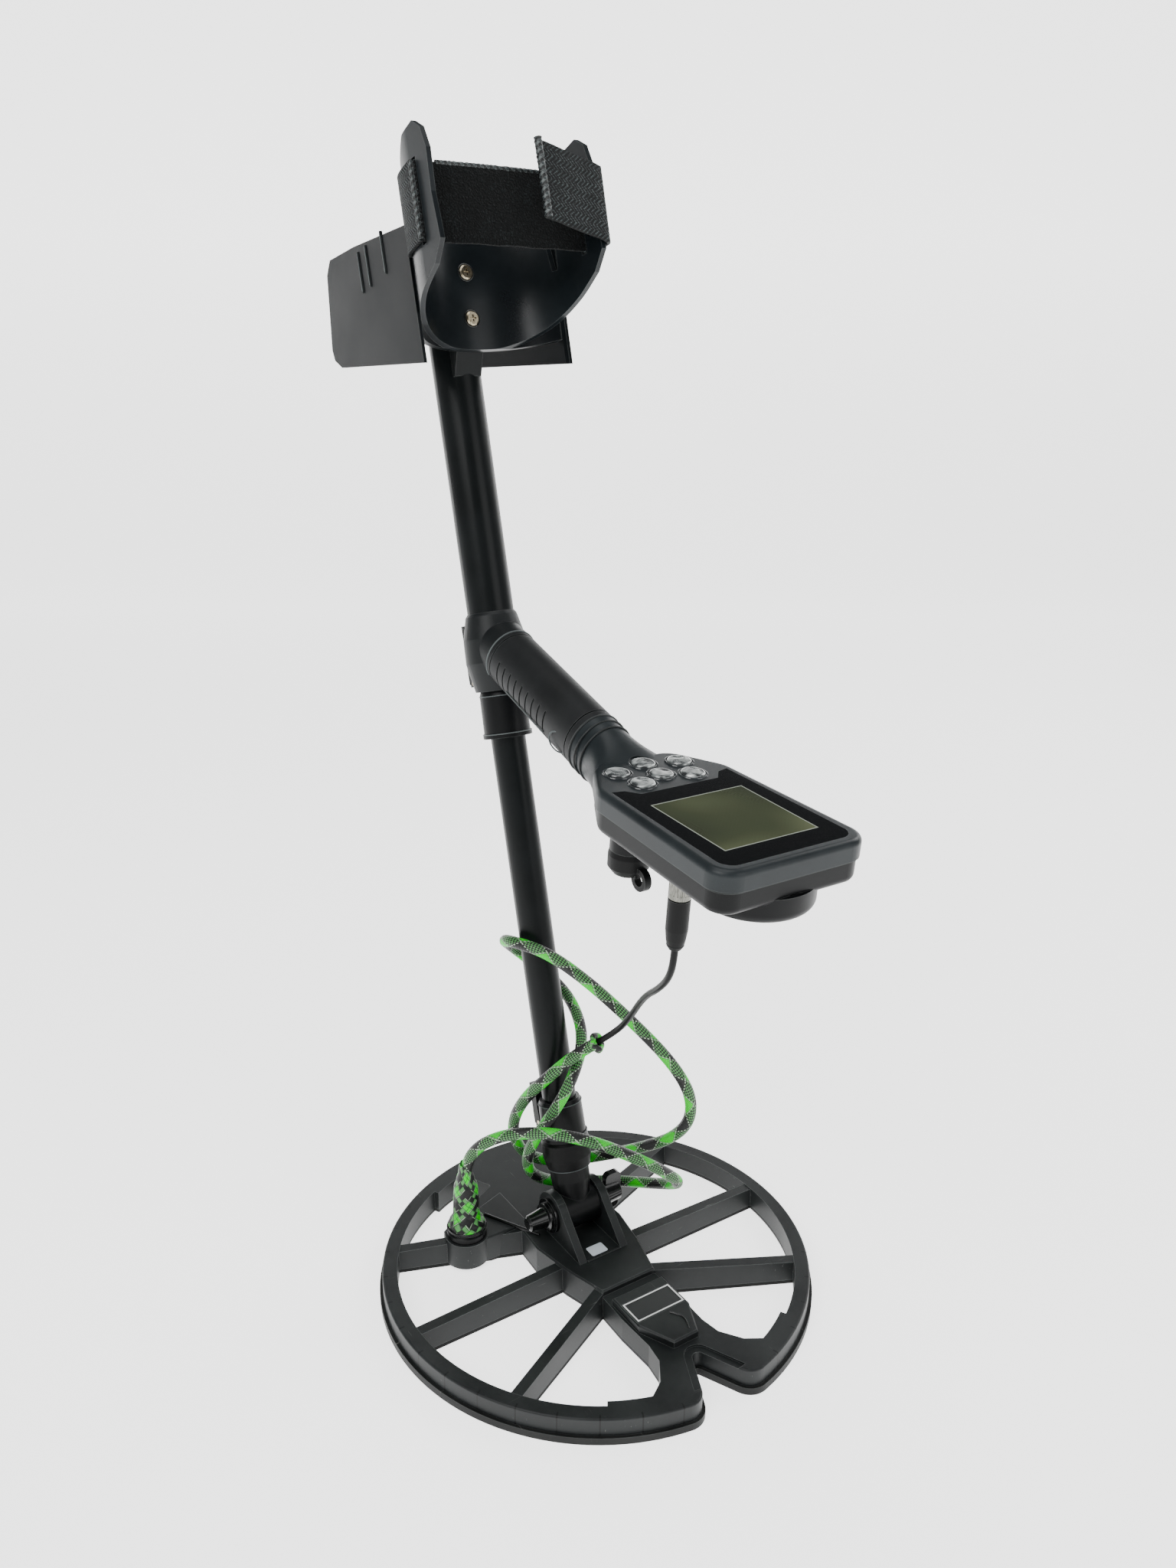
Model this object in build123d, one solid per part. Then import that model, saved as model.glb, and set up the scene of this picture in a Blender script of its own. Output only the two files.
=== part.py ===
from build123d import *
import os
from math import atan2, cos, degrees, hypot, pi, radians, sin, tan

# A handheld metal detector, closed up, standing on its search coil.
# Millimetres. The origin is the centre of the coil on the ground, +Y is the coil's notched
# front, +X is the user's right and +Z is up. The shaft leans back, and the three sections of
# it telescope along one axis.

# ---------------------------------------------------------------- driving dimensions
# Search coil
coil_r = 138.0            # outside of the shell
cover_lip = 2.0           # how far the skid cover stands out round the shell
cover_t = 2.5
lip_h = 2.2
rim_w = 9.5
rim_thick_w = 13.0        # rim where both windings share it, at the front and the rear
rim_h = 16.0
rim_round = 1.2
thick_front_deg = 31.0    # half angle of the thick rim at the front
thick_rear_deg = 27.7
notch_lobe_deg = 11.0     # where the rim's arc ends beside the front notch
notch_side_deg = 25.0     # lean of the notch's sides
notch_shoulder_r = 11.0
notch_tip_r = 4.0
spoke_w = 7.0
hub_top = 20.0
winding_w = 4.5
winding_h = 4.4
winding_inset = 3.4       # shell wall outside a winding
winding_gap = 4.5         # from the middle plane to the straight leg of each winding
badge_size = (36.0, 18.0, 0.8)
badge_y = 63.0

# Cable gland on the coil
gland_x, gland_y = 64.0, -58.0
gland_r = 13.0
gland_h = 5.0
boot_r = 8.2              # strain relief of the coil cable, under the braid
boot_top_r = 5.0
boot_h = 34.0

# Tilt hinge between the coil and the shaft
hinge_y, hinge_z = -26.0, 36.0
barrel_r = 13.2
washer_t = 1.0
ear_t = 5.5
ear_r = 15.0
bolt_r = 4.0
run_gap = 0.05            # radial running clearance of every pin and sliding tube

# Telescopic shaft, measured along the shaft from the hinge
shaft_lean = 14.8
lower_r, lower_wall = 9.5, 1.6
middle_wall, upper_wall = 1.6, 3.55
middle_r = lower_r + run_gap + middle_wall
upper_r = middle_r + run_gap + upper_wall
neck_r = lower_r + 3.5
barrel_w = 2 * (lower_r + 2.5)
shoulder = (28.0, 48.0)   # rubber-faced stop above the yoke, on which the lower lock sits
shoulder_r = lower_r + 6.5
lower_lock = (48.5, 75.0)
upper_lock = (315.0, 345.0)
lower_lock_r, upper_lock_r = middle_r + 3.45, middle_r + 3.75
collar_step = 4.0         # how far the middle tube's foot stands above its collar's
lower_top = 566.0
middle_top = 586.0
stem_top = 600.0
lever_w = 18.0
lever_pin_r = 1.6
lug_r = 2.9
lower_pin = (lower_lock_r + 2.6, 55.5)   # pin of a lever: distance behind the shaft's axis, height
upper_pin = (upper_r + 5.45, 351.0)
# Each lever: inner face, outer face, and length above the pin
lower_lever = (lower_lock_r + 1.2, lower_lock_r + 7.5, 27.0)
upper_lever = (upper_r + 5.75, upper_r + 10.45, 37.0)

# Handle
grip_start, grip_end = 22.0, 120.0   # along the grip, from the shaft axis
grip_at = 376.5                      # where the grip's axis leaves the shaft's axis
grip_drop = 33.8                     # how far the grip falls below a right angle to the shaft
grip_wide, grip_tall = 17.0, 19.2    # half axes of the rubber
rubber_t = 3.0
groove_count = 9
groove_pitch = 7.0

# Control box, about the centre of its screen
box_y, box_z = 116.2, 354.7
box_pitch = 4.8
box_front = 50.0
box_half_front, box_half_rear = 47.5, 43.0
box_wall = 2.4
top_shell_h = 11.0
seal_t = 1.2
bottom_shell_h = 12.0
bump_r, bump_h, bump_y = 31.0, 11.0, 20.0
screen_w = 58.0
window_t = 1.3
button_r, button_ring = 6.8, 1.2
button_travel = 1.2
button_gap = 0.15
flange_t = 0.6
flange_w = 1.0            # how far a button's flange stands out round it
keypad_y = -64.5
button_pitch = 2 * (button_r + flange_w) + 2.0
button_steps = {          # places in pitches, from the middle of the keypad
    "rear_left": (-1.165, -0.398),
    "rear_centre": (0.0, -0.710),
    "rear_right": (1.165, -0.398),
    "centre": (0.0, 0.239),
    "front_left": (-0.9375, 0.585),
    "front_right": (0.9375, 0.585),
}
button_places = {
    name: (x * button_pitch, keypad_y + y * button_pitch) for name, (x, y) in button_steps.items()
}
box_rear = button_places["rear_centre"][1] - button_r - 5.2

# Sockets under the box
socket_x = 14.0
coil_socket_y, aux_socket_y = -19.0, -65.0
socket_r = 5.6
aux_r = 11.0
aux_h = 26.0

# Arm cuff, about the shaft's axis
cuff_r = 50.0             # inside of the cuff
cuff_wall = 3.0
cuff_back = 28.0          # from the shaft's axis to the inside of the cuff
stand_wall = 3.0
stand_reach = 78.0
leg_front = 55.0
loop_back = 55.5          # back edge of the strap's loop, just ahead of the legs
screw_heights = (567.0, 593.8)
strap_w, strap_t = 42.0, 2.2
strap_low = 591.0
slot_v = 82.0             # middle of the strap slot in each wing

# Cables
sleeve_r = 3.75
cable_r = 2.0

os.makedirs("parts", exist_ok=True)
shaft = Location((0, hinge_y, hinge_z), (shaft_lean, 0, 0))
box = Location((0, box_y, box_z), (-box_pitch, 0, 0))
grip = shaft * Location((0, 0, grip_at), (-grip_drop - 90, 0, 0))


# ---------------------------------------------------------------- small builders
def save(node, *solids):
    """Writes one named node: one solid, or a group of separate ones."""
    shape = solids[0] if len(solids) == 1 else Compound(children=list(solids))
    shape.label = node
    export_step(shape, f"parts/{node}.step")


def outline(points):
    """A flat face with straight sides through points in the XY plane."""
    return make_face(Polyline(*points, close=True))


def prism(face, low, high):
    """The face pushed up from one height to another."""
    return Pos(0, 0, low) * extrude(face, high - low)


def rod(radius, low, high):
    """A round bar along Z."""
    bar = Cylinder(radius, high - low, align=(Align.CENTER, Align.CENTER, Align.MIN))
    return Pos(0, 0, low) * bar


def turned(points):
    """A solid of revolution about Z through (radius, height) points."""
    return revolve(make_face(Polyline(*[(r, 0, h) for r, h in points], close=True)), Axis.Z)


def cross_rod(radius, low, high):
    """A round bar along X."""
    return Rot(0, 90, 0) * rod(radius, low, high)


def block(x, y, z):
    """A box from three (low, high) pairs."""
    size = [high - low for low, high in (x, y, z)]
    middle = [(high + low) / 2 for low, high in (x, y, z)]
    return Pos(*middle) * Box(*size)


def standing_box(x, y, z):
    """A box that stands on the XY plane, centred in X and Y."""
    return Box(x, y, z, align=(Align.CENTER, Align.CENTER, Align.MIN))


def side_view(points, half_width):
    """A shape drawn in the YZ plane and pushed out both ways along X."""
    face = make_face(Polyline(*[(0, y, z) for y, z in points], close=True))
    return extrude(face, half_width, dir=(1, 0, 0), both=True)


def mirrored(points):
    """The points, and then their reflections in the middle plane, as one loop."""
    return points + [(-x, y) for x, y in reversed(points) if x != 0]


# ---------------------------------------------------------------- search coil
def coil_plan(grow=0.0):
    """The coil's outline from above, grown by an amount: a disc with a rounded notch at the front.

    Each lobe beside the notch is a shoulder arc, then a straight side, then the arc at the tip.
    """
    lobe, lean = radians(notch_lobe_deg), radians(notch_side_deg)
    shoulder = Vector(sin(lobe), cos(lobe)) * (coil_r - notch_shoulder_r)
    void = Vector(-cos(lean), sin(lean))
    reach = notch_shoulder_r + notch_tip_r
    tip_y = shoulder.Y + (reach - shoulder.X * cos(lean)) / sin(lean)
    on_rim = Vector(sin(lobe), cos(lobe)) * (coil_r + grow)
    between = (Vector(sin(lobe), cos(lobe)) + void).normalized()
    on_shoulder = shoulder + between * (notch_shoulder_r + grow)
    side_top = shoulder + void * (notch_shoulder_r + grow)
    side_end = Vector(0, tip_y) - void * (notch_tip_r - grow)
    tip = Vector(0, tip_y - notch_tip_r + grow)

    def other(point):
        return Vector(-point.X, point.Y)

    edges = [
        ThreePointArc(on_rim, (0, -coil_r - grow), other(on_rim)),
        ThreePointArc(other(on_rim), other(on_shoulder), other(side_top)),
        Line(other(side_top), other(side_end)),
        ThreePointArc(other(side_end), tip, side_end),
        Line(side_end, side_top),
        ThreePointArc(side_top, on_shoulder, on_rim),
    ]
    return make_face(Wire(edges))


def wedge(half_angle, front):
    """A long triangle from the centre, which picks out part of the rim."""
    far = 2 * coil_r
    side = far * tan(radians(half_angle))
    ahead = far if front else -far
    return outline([(0, 0), (side, ahead), (-side, ahead)])


def spoke(start, end, low, top_start, top_end):
    """A straight spoke with a narrower back, from hub to rim."""
    length = hypot(end[0] - start[0], end[1] - start[1])
    turn = degrees(atan2(end[1] - start[1], end[0] - start[0]))
    foot = spoke_w + 1.5

    def section(top):
        return outline([(-foot / 2, low), (foot / 2, low), (spoke_w / 2, top), (-spoke_w / 2, top)])

    bar = loft([Plane.YZ * section(top_start), Plane.YZ.offset(length) * section(top_end)])
    return Pos(*start, 0) * Rot(0, 0, turn) * bar


def inside_rim(angle, inset):
    """A point at an angle from the +X axis, a little inside the coil's edge."""
    return (coil_r - inset) * cos(radians(angle)), (coil_r - inset) * sin(radians(angle))


spokes = [
    ((20.0, 0.5), inside_rim(0.2, 7.0)),
    ((17.0, 32.0), inside_rim(35.4, 5.5)),
    ((25.0, -42.5), inside_rim(-34.1, 5.2)),
]
hub_half = [(0, -52), (31, -52), (33, -20), (28, 8), (20, 37), (0, 37)]
web_half = [
    (0, 30), (20, 30), (21, 60), (20, coil_r - 52), (22, coil_r - 39), (31, coil_r - 26),
    (47, coil_r - 16), (47, coil_r + 2), (0, coil_r + 2),
]
heel_half = [
    (0, -45), (26, -45), (24, -70), (24, 38 - coil_r), (34, 19 - coil_r), (40, -2 - coil_r), (0, -2 - coil_r),
]
gland_pad = [(24, -44), (52, -47), (77, -57), (74, -72), (24, -98)]


def coil_frame(low, high, grow=0.0):
    """Rim, webs and pads in plan, between two heights."""
    plan = coil_plan(grow)
    rim = plan - Circle(coil_r - rim_w)
    thick = plan - Circle(coil_r - rim_thick_w)
    thick = thick & (wedge(thick_front_deg, True) + wedge(thick_rear_deg, False))
    inside = plan & (outline(mirrored(web_half)) + outline(mirrored(heel_half)))
    hub = outline(mirrored(hub_half)) + outline(gland_pad)
    return prism(rim + thick + inside + hub, low, high)


def winding(side, low):
    """One of the two D-shaped windings: half the rim and a straight leg across the middle."""
    outer = coil_plan(-winding_inset)
    inner = coil_plan(-winding_inset - winding_w)
    far = 2 * coil_r
    half = Rectangle(far, 2 * far, align=(Align.MIN, Align.CENTER))
    keep = Pos(-winding_gap - winding_w, 0) * half
    hole = Pos(-winding_gap, 0) * half
    loop = (outer & keep) - (inner & hole)
    loop = prism(loop, low, low + winding_h)
    return loop if side > 0 else mirror(loop, Plane.YZ)


tx_low = cover_t + 1.0
rx_low = tx_low + winding_h + 1.0


def make_ear(side):
    """A fork ear: it slopes down to its foot at the front and is round over the hinge."""
    inner = barrel_w / 2 + washer_t
    foot = hub_top - 3
    profile = [(12, foot), (hinge_y - 24, foot), (hinge_y - ear_r, hinge_z), (hinge_y + ear_r, hinge_z)]
    low = inner if side > 0 else -inner - ear_t
    blade = make_face(Polyline(*[(0, y, z) for y, z in profile], close=True))
    blade = Pos(low, 0, 0) * extrude(blade, ear_t, dir=(1, 0, 0))
    cap = Pos(0, hinge_y, hinge_z) * cross_rod(ear_r, low, low + ear_t)
    slope = [(12, foot), (hinge_y, foot), (hinge_y, hinge_z), (hinge_y + 9, hinge_z + 12)]
    front = make_face(Polyline(*[(0, y, z) for y, z in slope], close=True))
    rib = Pos(low, 0, 0) * extrude(front, ear_t, dir=(1, 0, 0))
    return blade + cap + rib


def make_coil_shell():
    """Upper shell of the coil, with the spokes, the hub, the fork ears and grooves for the windings."""
    rim = prism(coil_plan() - Circle(coil_r - rim_w), cover_t, rim_h)
    rim = fillet(rim.faces().sort_by(Axis.Z)[-1].edges(), rim_round)
    body = coil_frame(cover_t, rim_h - rim_round) + rim
    inner_step = coil_frame(rim_h - rim_round - 1, rim_h)
    body += inner_step - prism(Circle(3 * coil_r) - coil_plan(-rim_w / 2), 0, hub_top)
    for start, end in spokes:
        for side in (1, -1):
            first = (side * start[0], start[1])
            last = (side * end[0], end[1])
            body += spoke(first, last, cover_t, hub_top - 1.5, rim_h - 0.6)
    hub = prism(outline(mirrored(hub_half)), cover_t, hub_top)
    body += chamfer(hub.faces().sort_by(Axis.Z)[-1].edges(), 1.0)
    pad = outline([(19, 46), (19, 74), (9, coil_r - 42), (-9, coil_r - 42), (-19, 74), (-19, 46)])
    pad = prism(pad, rim_h - 2, hub_top + 1)
    body += chamfer(pad.faces().sort_by(Axis.Z)[-1].edges(), 1.0)
    corner = Pos(gland_x, gland_y, 0) * rod(gland_r + 1.5, cover_t, hub_top)
    ramp = prism(outline([(24, -46), (60, -46), (76, -58), (60, -72), (24, -84)]), cover_t, hub_top)
    body += fillet(ramp.faces().sort_by(Axis.Z)[-1].edges(), 1.0) + corner
    for side in (1, -1):
        body += make_ear(side)
    body -= Pos(0, hinge_y, hinge_z) * cross_rod(bolt_r + run_gap, -60, 60)
    body -= Pos(0, hinge_y, hinge_z) * cross_rod(barrel_r + 0.8, -barrel_w / 2, barrel_w / 2)
    body -= Pos(0, badge_y, hub_top + 1 - badge_size[2]) * standing_box(badge_size[0], badge_size[1], 3.0)
    body -= Pos(gland_x, gland_y, 0) * rod(gland_r - 4, hub_top - 4, hub_top + 1)
    body -= winding(1, tx_low) + winding(1, cover_t - 1)
    body -= winding(-1, rx_low) + winding(-1, cover_t - 1) + winding(-1, tx_low)
    return body


def make_coil_cover():
    """Skid cover under the coil, with a low lip round the outside."""
    floor = coil_frame(0, cover_t)
    for start, end in spokes:
        for side in (1, -1):
            floor += spoke((side * start[0], start[1]), (side * end[0], end[1]), 0, cover_t, cover_t)
    skirt = prism(coil_plan(cover_lip) - coil_plan(-rim_w / 2), 0, cover_t)
    lip = prism(coil_plan(cover_lip) - coil_plan(0.0), cover_t, cover_t + lip_h)
    return floor + skirt + lip


def make_badge():
    """Blank name badge let into the front web."""
    return Pos(0, badge_y, hub_top + 1 - badge_size[2]) * standing_box(*badge_size)


def make_gland():
    """Cable gland: a flanged ring that screws into the coil."""
    neck = rod(gland_r - 4, hub_top - 4, hub_top)
    flange = chamfer(rod(gland_r, hub_top, hub_top + gland_h).edges().sort_by(Axis.Z)[-1], 1.2)
    bore = rod(cable_r, hub_top - 5, hub_top + gland_h + 1)
    return Pos(gland_x, gland_y, 0) * (neck + flange - bore)


def make_boot():
    """Rubber strain relief that stands on the gland."""
    base = hub_top + gland_h
    top = base + boot_h
    body = turned([(0, base), (boot_r, base), (boot_r, base + 4), (boot_top_r, top), (0, top)])
    return Pos(gland_x, gland_y, 0) * body


# ---------------------------------------------------------------- tilt hinge
ear_out = barrel_w / 2 + washer_t + ear_t
nut_depth = 13.5          # blind hole of the wing nut


def make_bolt():
    """Hinge bolt: a stepped cone for a head, and a thread on the other side for the wing nut."""
    head = turned(
        [(0, ear_out), (11.5, ear_out), (11.5, ear_out + 2.5), (9.0, ear_out + 2.5), (9.0, ear_out + 5.0),
         (6.6, ear_out + 5.5), (5.2, ear_out + 17.0), (3.6, ear_out + 18.2), (0, ear_out + 18.2)]
    )
    shank = rod(bolt_r, -ear_out - nut_depth + 0.5, ear_out)
    return Pos(0, hinge_y, hinge_z) * Rot(0, 90, 0) * (head + shank)


def make_washer(side):
    """Friction washer between the barrel and one ear."""
    ring = rod(11.0, barrel_w / 2, barrel_w / 2 + washer_t) - rod(bolt_r + 0.1, 0, 60)
    return Pos(0, hinge_y, hinge_z) * Rot(0, 90 * side, 0) * ring


def make_wing_nut():
    """Wing nut: a round skirt with one tall wing and one short one."""
    base = ear_out + 0.1
    body = turned(
        [(0, base), (10.5, base), (10.5, base + 2.5), (8.0, base + 4), (7.0, base + 15), (0, base + 15)]
    )
    wing = block((-2.4, 2.4), (3, 14.5), (base + 5, base + 17))
    wing = fillet(wing.edges().filter_by(Axis.X).group_by(Axis.Y)[-1], 3.5)
    stub = block((-2.4, 2.4), (-12, -3), (base + 5, base + 15))
    stub = fillet(stub.edges().filter_by(Axis.X).group_by(Axis.Y)[0], 3)
    nut = body + wing + stub - rod(bolt_r + run_gap, 0, base + nut_depth)
    return Pos(0, hinge_y, hinge_z) * Rot(0, -90, 0) * Rot(0, 0, -90) * nut


# ---------------------------------------------------------------- telescopic shaft
def make_yoke():
    """Moulded lower end: the hinge barrel, its neck and the stop for the lower lock."""
    barrel = cross_rod(barrel_r, -barrel_w / 2, barrel_w / 2)
    waist = barrel_w / 2 - 0.5
    neck = turned([(0, 0), (waist, 0), (waist, 8), (neck_r, 20), (neck_r, shoulder[0]), (0, shoulder[0])])
    spigot = rod(lower_r - lower_wall, shoulder[0], shoulder[1] + 14)
    body = barrel + neck + spigot
    body -= cross_rod(bolt_r + run_gap, -40, 40)
    return shaft * body


def make_bumper():
    """Black collar above the yoke, on which the lower lock comes to rest."""
    low, high = shoulder
    body = turned(
        [(0, low), (shoulder_r - 2.0, low), (shoulder_r - 1.4, low + 2), (shoulder_r, low + 8),
         (shoulder_r, high - 2), (shoulder_r - 1.5, high), (0, high)]
    )
    return shaft * (body - rod(lower_r, low - 1, high + 1))


def make_lower_tube():
    """Lowest tube of the shaft."""
    low = shoulder[0]
    return shaft * (rod(lower_r, low, lower_top) - rod(lower_r - lower_wall, low - 1, lower_top + 1))


def make_middle_tube():
    """Middle tube, which slides over the lower one."""
    low = lower_lock[0] + collar_step
    return shaft * (rod(middle_r, low, middle_top) - rod(lower_r + run_gap, low - 1, middle_top + 1))


def lock_lugs(pin):
    """The two round-backed lugs that hold a lever's pin."""
    behind, height = pin
    lugs = None
    for side in (1, -1):
        low, high = sorted((side * 3.5, side * 6.5))
        lug = Pos(0, -behind, height) * cross_rod(lug_r, low, high)
        lug += block((low, high), (-behind, -behind + 5), (height - lug_r, height + lug_r))
        lugs = lug if lugs is None else lugs + lug
    return lugs


def pin_hole(pin, grow=0.0):
    """The bar that cuts a hole for a lever's pin."""
    behind, height = pin
    return Pos(0, -behind, height) * cross_rod(lever_pin_r + grow, -20, 20)


def make_lock_collar(lock, radius, slide_r):
    """Split clamp collar, which slides on the tube inside it."""
    low, high = lock
    wall = [
        (0, low), (radius + 0.8, low), (radius + 0.8, low + 2.5), (radius, low + 2.5),
        (radius - 0.4, high - 3), (radius - 1.4, high), (0, high),
    ]
    body = turned(wall) - rod(slide_r + run_gap, low - 1, high + 1)
    return body - block((-0.8, 0.8), (-radius - 6, -slide_r + 1), (low - 1, low + 15))


def make_lower_lock():
    """Collar on the foot of the middle tube, with the lugs of its lever."""
    low, high = lower_lock
    body = make_lock_collar(lower_lock, lower_lock_r, lower_r) + lock_lugs(lower_pin)
    body -= rod(middle_r, low + collar_step, high + 1)
    return shaft * (body - pin_hole(lower_pin))


def make_upper_lock():
    """Collar under the handle, round the middle tube."""
    return shaft * make_lock_collar(upper_lock, upper_lock_r, middle_r)


def make_lever(pin, shape):
    """Cam lever: cheeks outside the lugs, and a plate that closes up against the shaft."""
    behind, foot = pin
    inner, outer, length = shape
    half, gap = lever_w / 2, 0.4
    back = -behind - 3.4
    plate = side_view(
        [(-behind - 3.2, foot - 1), (-behind - 3.2, foot + 6), (-inner, foot + 6.5),
         (-inner, foot + length - 6), (-inner - 2.3, foot + length), (-outer, foot + length),
         (-outer, foot + 6), (-behind - 4.8, foot - 1)],
        half,
    )
    cheek = [(back, foot - 2.6), (-behind + 2.4, foot - 2.6), (-behind + 1.6, foot + 9), (back, foot + 9)]
    room = block((-6.5 - gap, 6.5 + gap), (-behind - 20, -behind + 20), (foot - 20, foot + 20))
    body = plate + (side_view(cheek, half) - room)
    body -= rod(behind - 2.2, foot - 20, foot + length)
    return shaft * (body - pin_hole(pin, run_gap))


def make_pin(pin):
    """Steel pin through a lock's lugs and lever."""
    behind, height = pin
    return shaft * Pos(0, -behind, height) * cross_rod(lever_pin_r, -lever_w / 2, lever_w / 2)


# ---------------------------------------------------------------- handle and upper shaft
junction_r = upper_r + 3.85
junction_top = 394.0
junction_low = upper_lock[1]


def grip_oval(wide, tall, at):
    """An oval across the grip at a distance along it."""
    return Plane.XY.offset(at) * Ellipse(wide, tall)


def make_stem():
    """Upper tube, from the handle to the arm cuff, with the boss that the cuff screws into."""
    back = cuff_back - cuff_wall - stand_wall
    low, high = screw_heights[0] - 14, stem_top
    foot = low - 16
    boss = side_view([(5, foot), (middle_r + 3, foot), (back, low), (back, high), (5, high)], 9.0)
    body = rod(upper_r, junction_low, stem_top) + boss
    body -= rod(middle_r + run_gap, junction_low - 1, stem_top + 1)
    for height in screw_heights:
        body -= Pos(0, back + 1, height) * Rot(90, 0, 0) * rod(1.6, 0, 7.0)
    return shaft * body


def make_stem_plug():
    """Cap that closes the top of the upper tube."""
    inner = middle_r + run_gap
    body = rod(inner, stem_top - 8, stem_top) + rod(upper_r, stem_top, stem_top + 2.5)
    return shaft * body


def make_sleeve(grow=0.0):
    """Outside of the handle's sleeve round the upper tube."""
    low, high = junction_low - grow, junction_top + grow
    return turned(
        [(0, low), (upper_r + 1.65 + grow, low), (junction_r + 1.4 + grow, junction_low + 18),
         (junction_r + 1.0 + grow, 378), (upper_r + 1.6 + grow, junction_top - 2),
         (upper_r + 0.2 + grow, high), (0, high)]
    )


def make_handle():
    """Handle frame: a sleeve round the upper tube with the core of the grip branching forward."""
    sleeve = make_sleeve() + lock_lugs(upper_pin)
    core = loft([grip_oval(grip_wide, grip_tall - 1, 0), grip_oval(grip_wide, grip_tall - 1, grip_start)])
    wide, tall = grip_wide - rubber_t, grip_tall - rubber_t
    tongue = loft([grip_oval(wide, tall, grip_start - 1), grip_oval(wide, tall, grip_end)])
    arm = grip * (core + tongue)
    hollow = grip * loft([grip_oval(9, 11, 16), grip_oval(9, 11, grip_end + 1)])
    body = shaft * sleeve + arm - hollow
    return body - shaft * (rod(upper_r, junction_low - 1, junction_top + 1) + pin_hole(upper_pin))


def make_grip_rubber():
    """Soft grip over the handle's core, with finger grooves underneath and ring lines at both ends."""
    skin = loft([grip_oval(grip_wide, grip_tall - 1, grip_start), grip_oval(grip_wide, grip_tall, grip_end)])
    wide, tall = grip_wide - rubber_t, grip_tall - rubber_t
    body = skin - loft([grip_oval(wide, tall, grip_start - 1), grip_oval(wide, tall, grip_end + 1)])
    around = Ellipse(grip_wide + 2, grip_tall + 2)
    for number in range(groove_count):
        at = grip_start + 12 + number * groove_pitch
        ring = Plane.XY.offset(at) * (around - Ellipse(grip_wide - 0.8, grip_tall - 1.6))
        band = extrude(ring, 1.6) & (Pos(0, grip_tall * 0.55, 0) * Box(60, grip_tall * 1.7, 600))
        body -= band
    for at in (grip_start + 3, grip_end - 5):
        ring = Plane.XY.offset(at) * (around - Ellipse(grip_wide - 0.9, grip_tall - 1.7))
        body -= extrude(ring, 1.0)
    return grip * body - shaft * make_sleeve(0.3)


# ---------------------------------------------------------------- control box
bottom_inset = 1.5
bottom_z = -top_shell_h - seal_t - bottom_shell_h
floor_z = bottom_z + box_wall
board_top = -6.0
board_t = 1.6
case_screws = [(38.5, 37.0), (-38.5, 37.0), (33.0, -60.0), (-33.0, -60.0)]
board_posts = [(34, 12), (-34, 12), (34, -38), (-34, -38)]


def box_plan(inset=0.0):
    """The box from above: a little wider at the front, with a rounded back."""
    half = [(0, box_front), (box_half_front, box_front), (box_half_rear, -58), (25, box_rear), (0, box_rear)]
    face = outline(mirrored(half))
    corners = face.vertices()
    face = fillet([v for v in corners if v.Y > box_front - 1 and abs(v.X) > 1], 13)
    face = fillet([v for v in face.vertices() if v.Y < box_rear + 1 and abs(v.X) > 1], 16)
    face = fillet([v for v in face.vertices() if abs(v.Y + 58) < 0.1], 18)
    return offset(face, amount=-inset) if inset else face


def window_plan(inset=0.0):
    """The screen's window, with its back edge cut away round the keypad."""
    half = [(0, 44.0), (40.5, 44.0), (38.0, -52.0), (31.0, -50.5), (25.0, -43.5), (0, -43.5)]
    face = outline(mirrored(half))
    face = fillet([v for v in face.vertices() if v.Y > 43], 8)
    return offset(face, amount=-inset) if inset else face


def make_neck():
    """The back of the box, drawn in to the oval of the grip."""
    ovals = [
        grip * grip_oval(grip_wide, grip_tall, grip_end),
        grip * grip_oval(grip_wide - 0.4, grip_tall - 0.9, grip_end + 14),
        box * Pos(0, box_rear + 4, -top_shell_h - 0.2) * Rot(-90, 0, 0) * Ellipse(27, 13.0),
        box * Pos(0, box_rear + 14, -top_shell_h - 0.2) * Rot(-90, 0, 0) * Ellipse(31, 10.6),
    ]
    body = loft(ovals)
    wire_way = loft(
        [
            grip * grip_oval(9, 11, grip_end - 1),
            box * Pos(0, box_rear + 4, -top_shell_h + 1) * Rot(-90, 0, 0) * Ellipse(14, 7),
            box * Pos(0, box_rear + 15, -top_shell_h + 1) * Rot(-90, 0, 0) * Ellipse(14, 7),
        ]
    )
    return body, wire_way


def make_box_top():
    """Top shell with the neck, the window's seat, the keypad's holes and the screw bosses."""
    shell = prism(box_plan(), -top_shell_h, 0)
    shell = fillet(shell.faces().sort_by(Axis.Z)[-1].edges(), 3.5)
    neck, wire_way = make_neck()
    below = box * prism(box_plan(), -80, -top_shell_h)
    body = box * shell + (neck - below)
    body -= wire_way
    body -= box * prism(box_plan(box_wall), -top_shell_h - 1, -box_wall)
    for x, y in case_screws:
        body += box * Pos(x, y, 0) * (rod(4.2, -top_shell_h, -box_wall) - rod(1.4, -top_shell_h - 1, -4))
    body -= box * prism(window_plan(), -window_t, 1)
    half = screen_w / 2 + 1
    body -= box * block((-half, half), (-half, half), (-5, 1))
    for x, y in button_places.values():
        hole = rod(button_r + button_gap, -5, 6) + rod(button_r + button_ring, -0.5, 6)
        body -= box * Pos(x, y, 0) * hole
    return body


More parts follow.
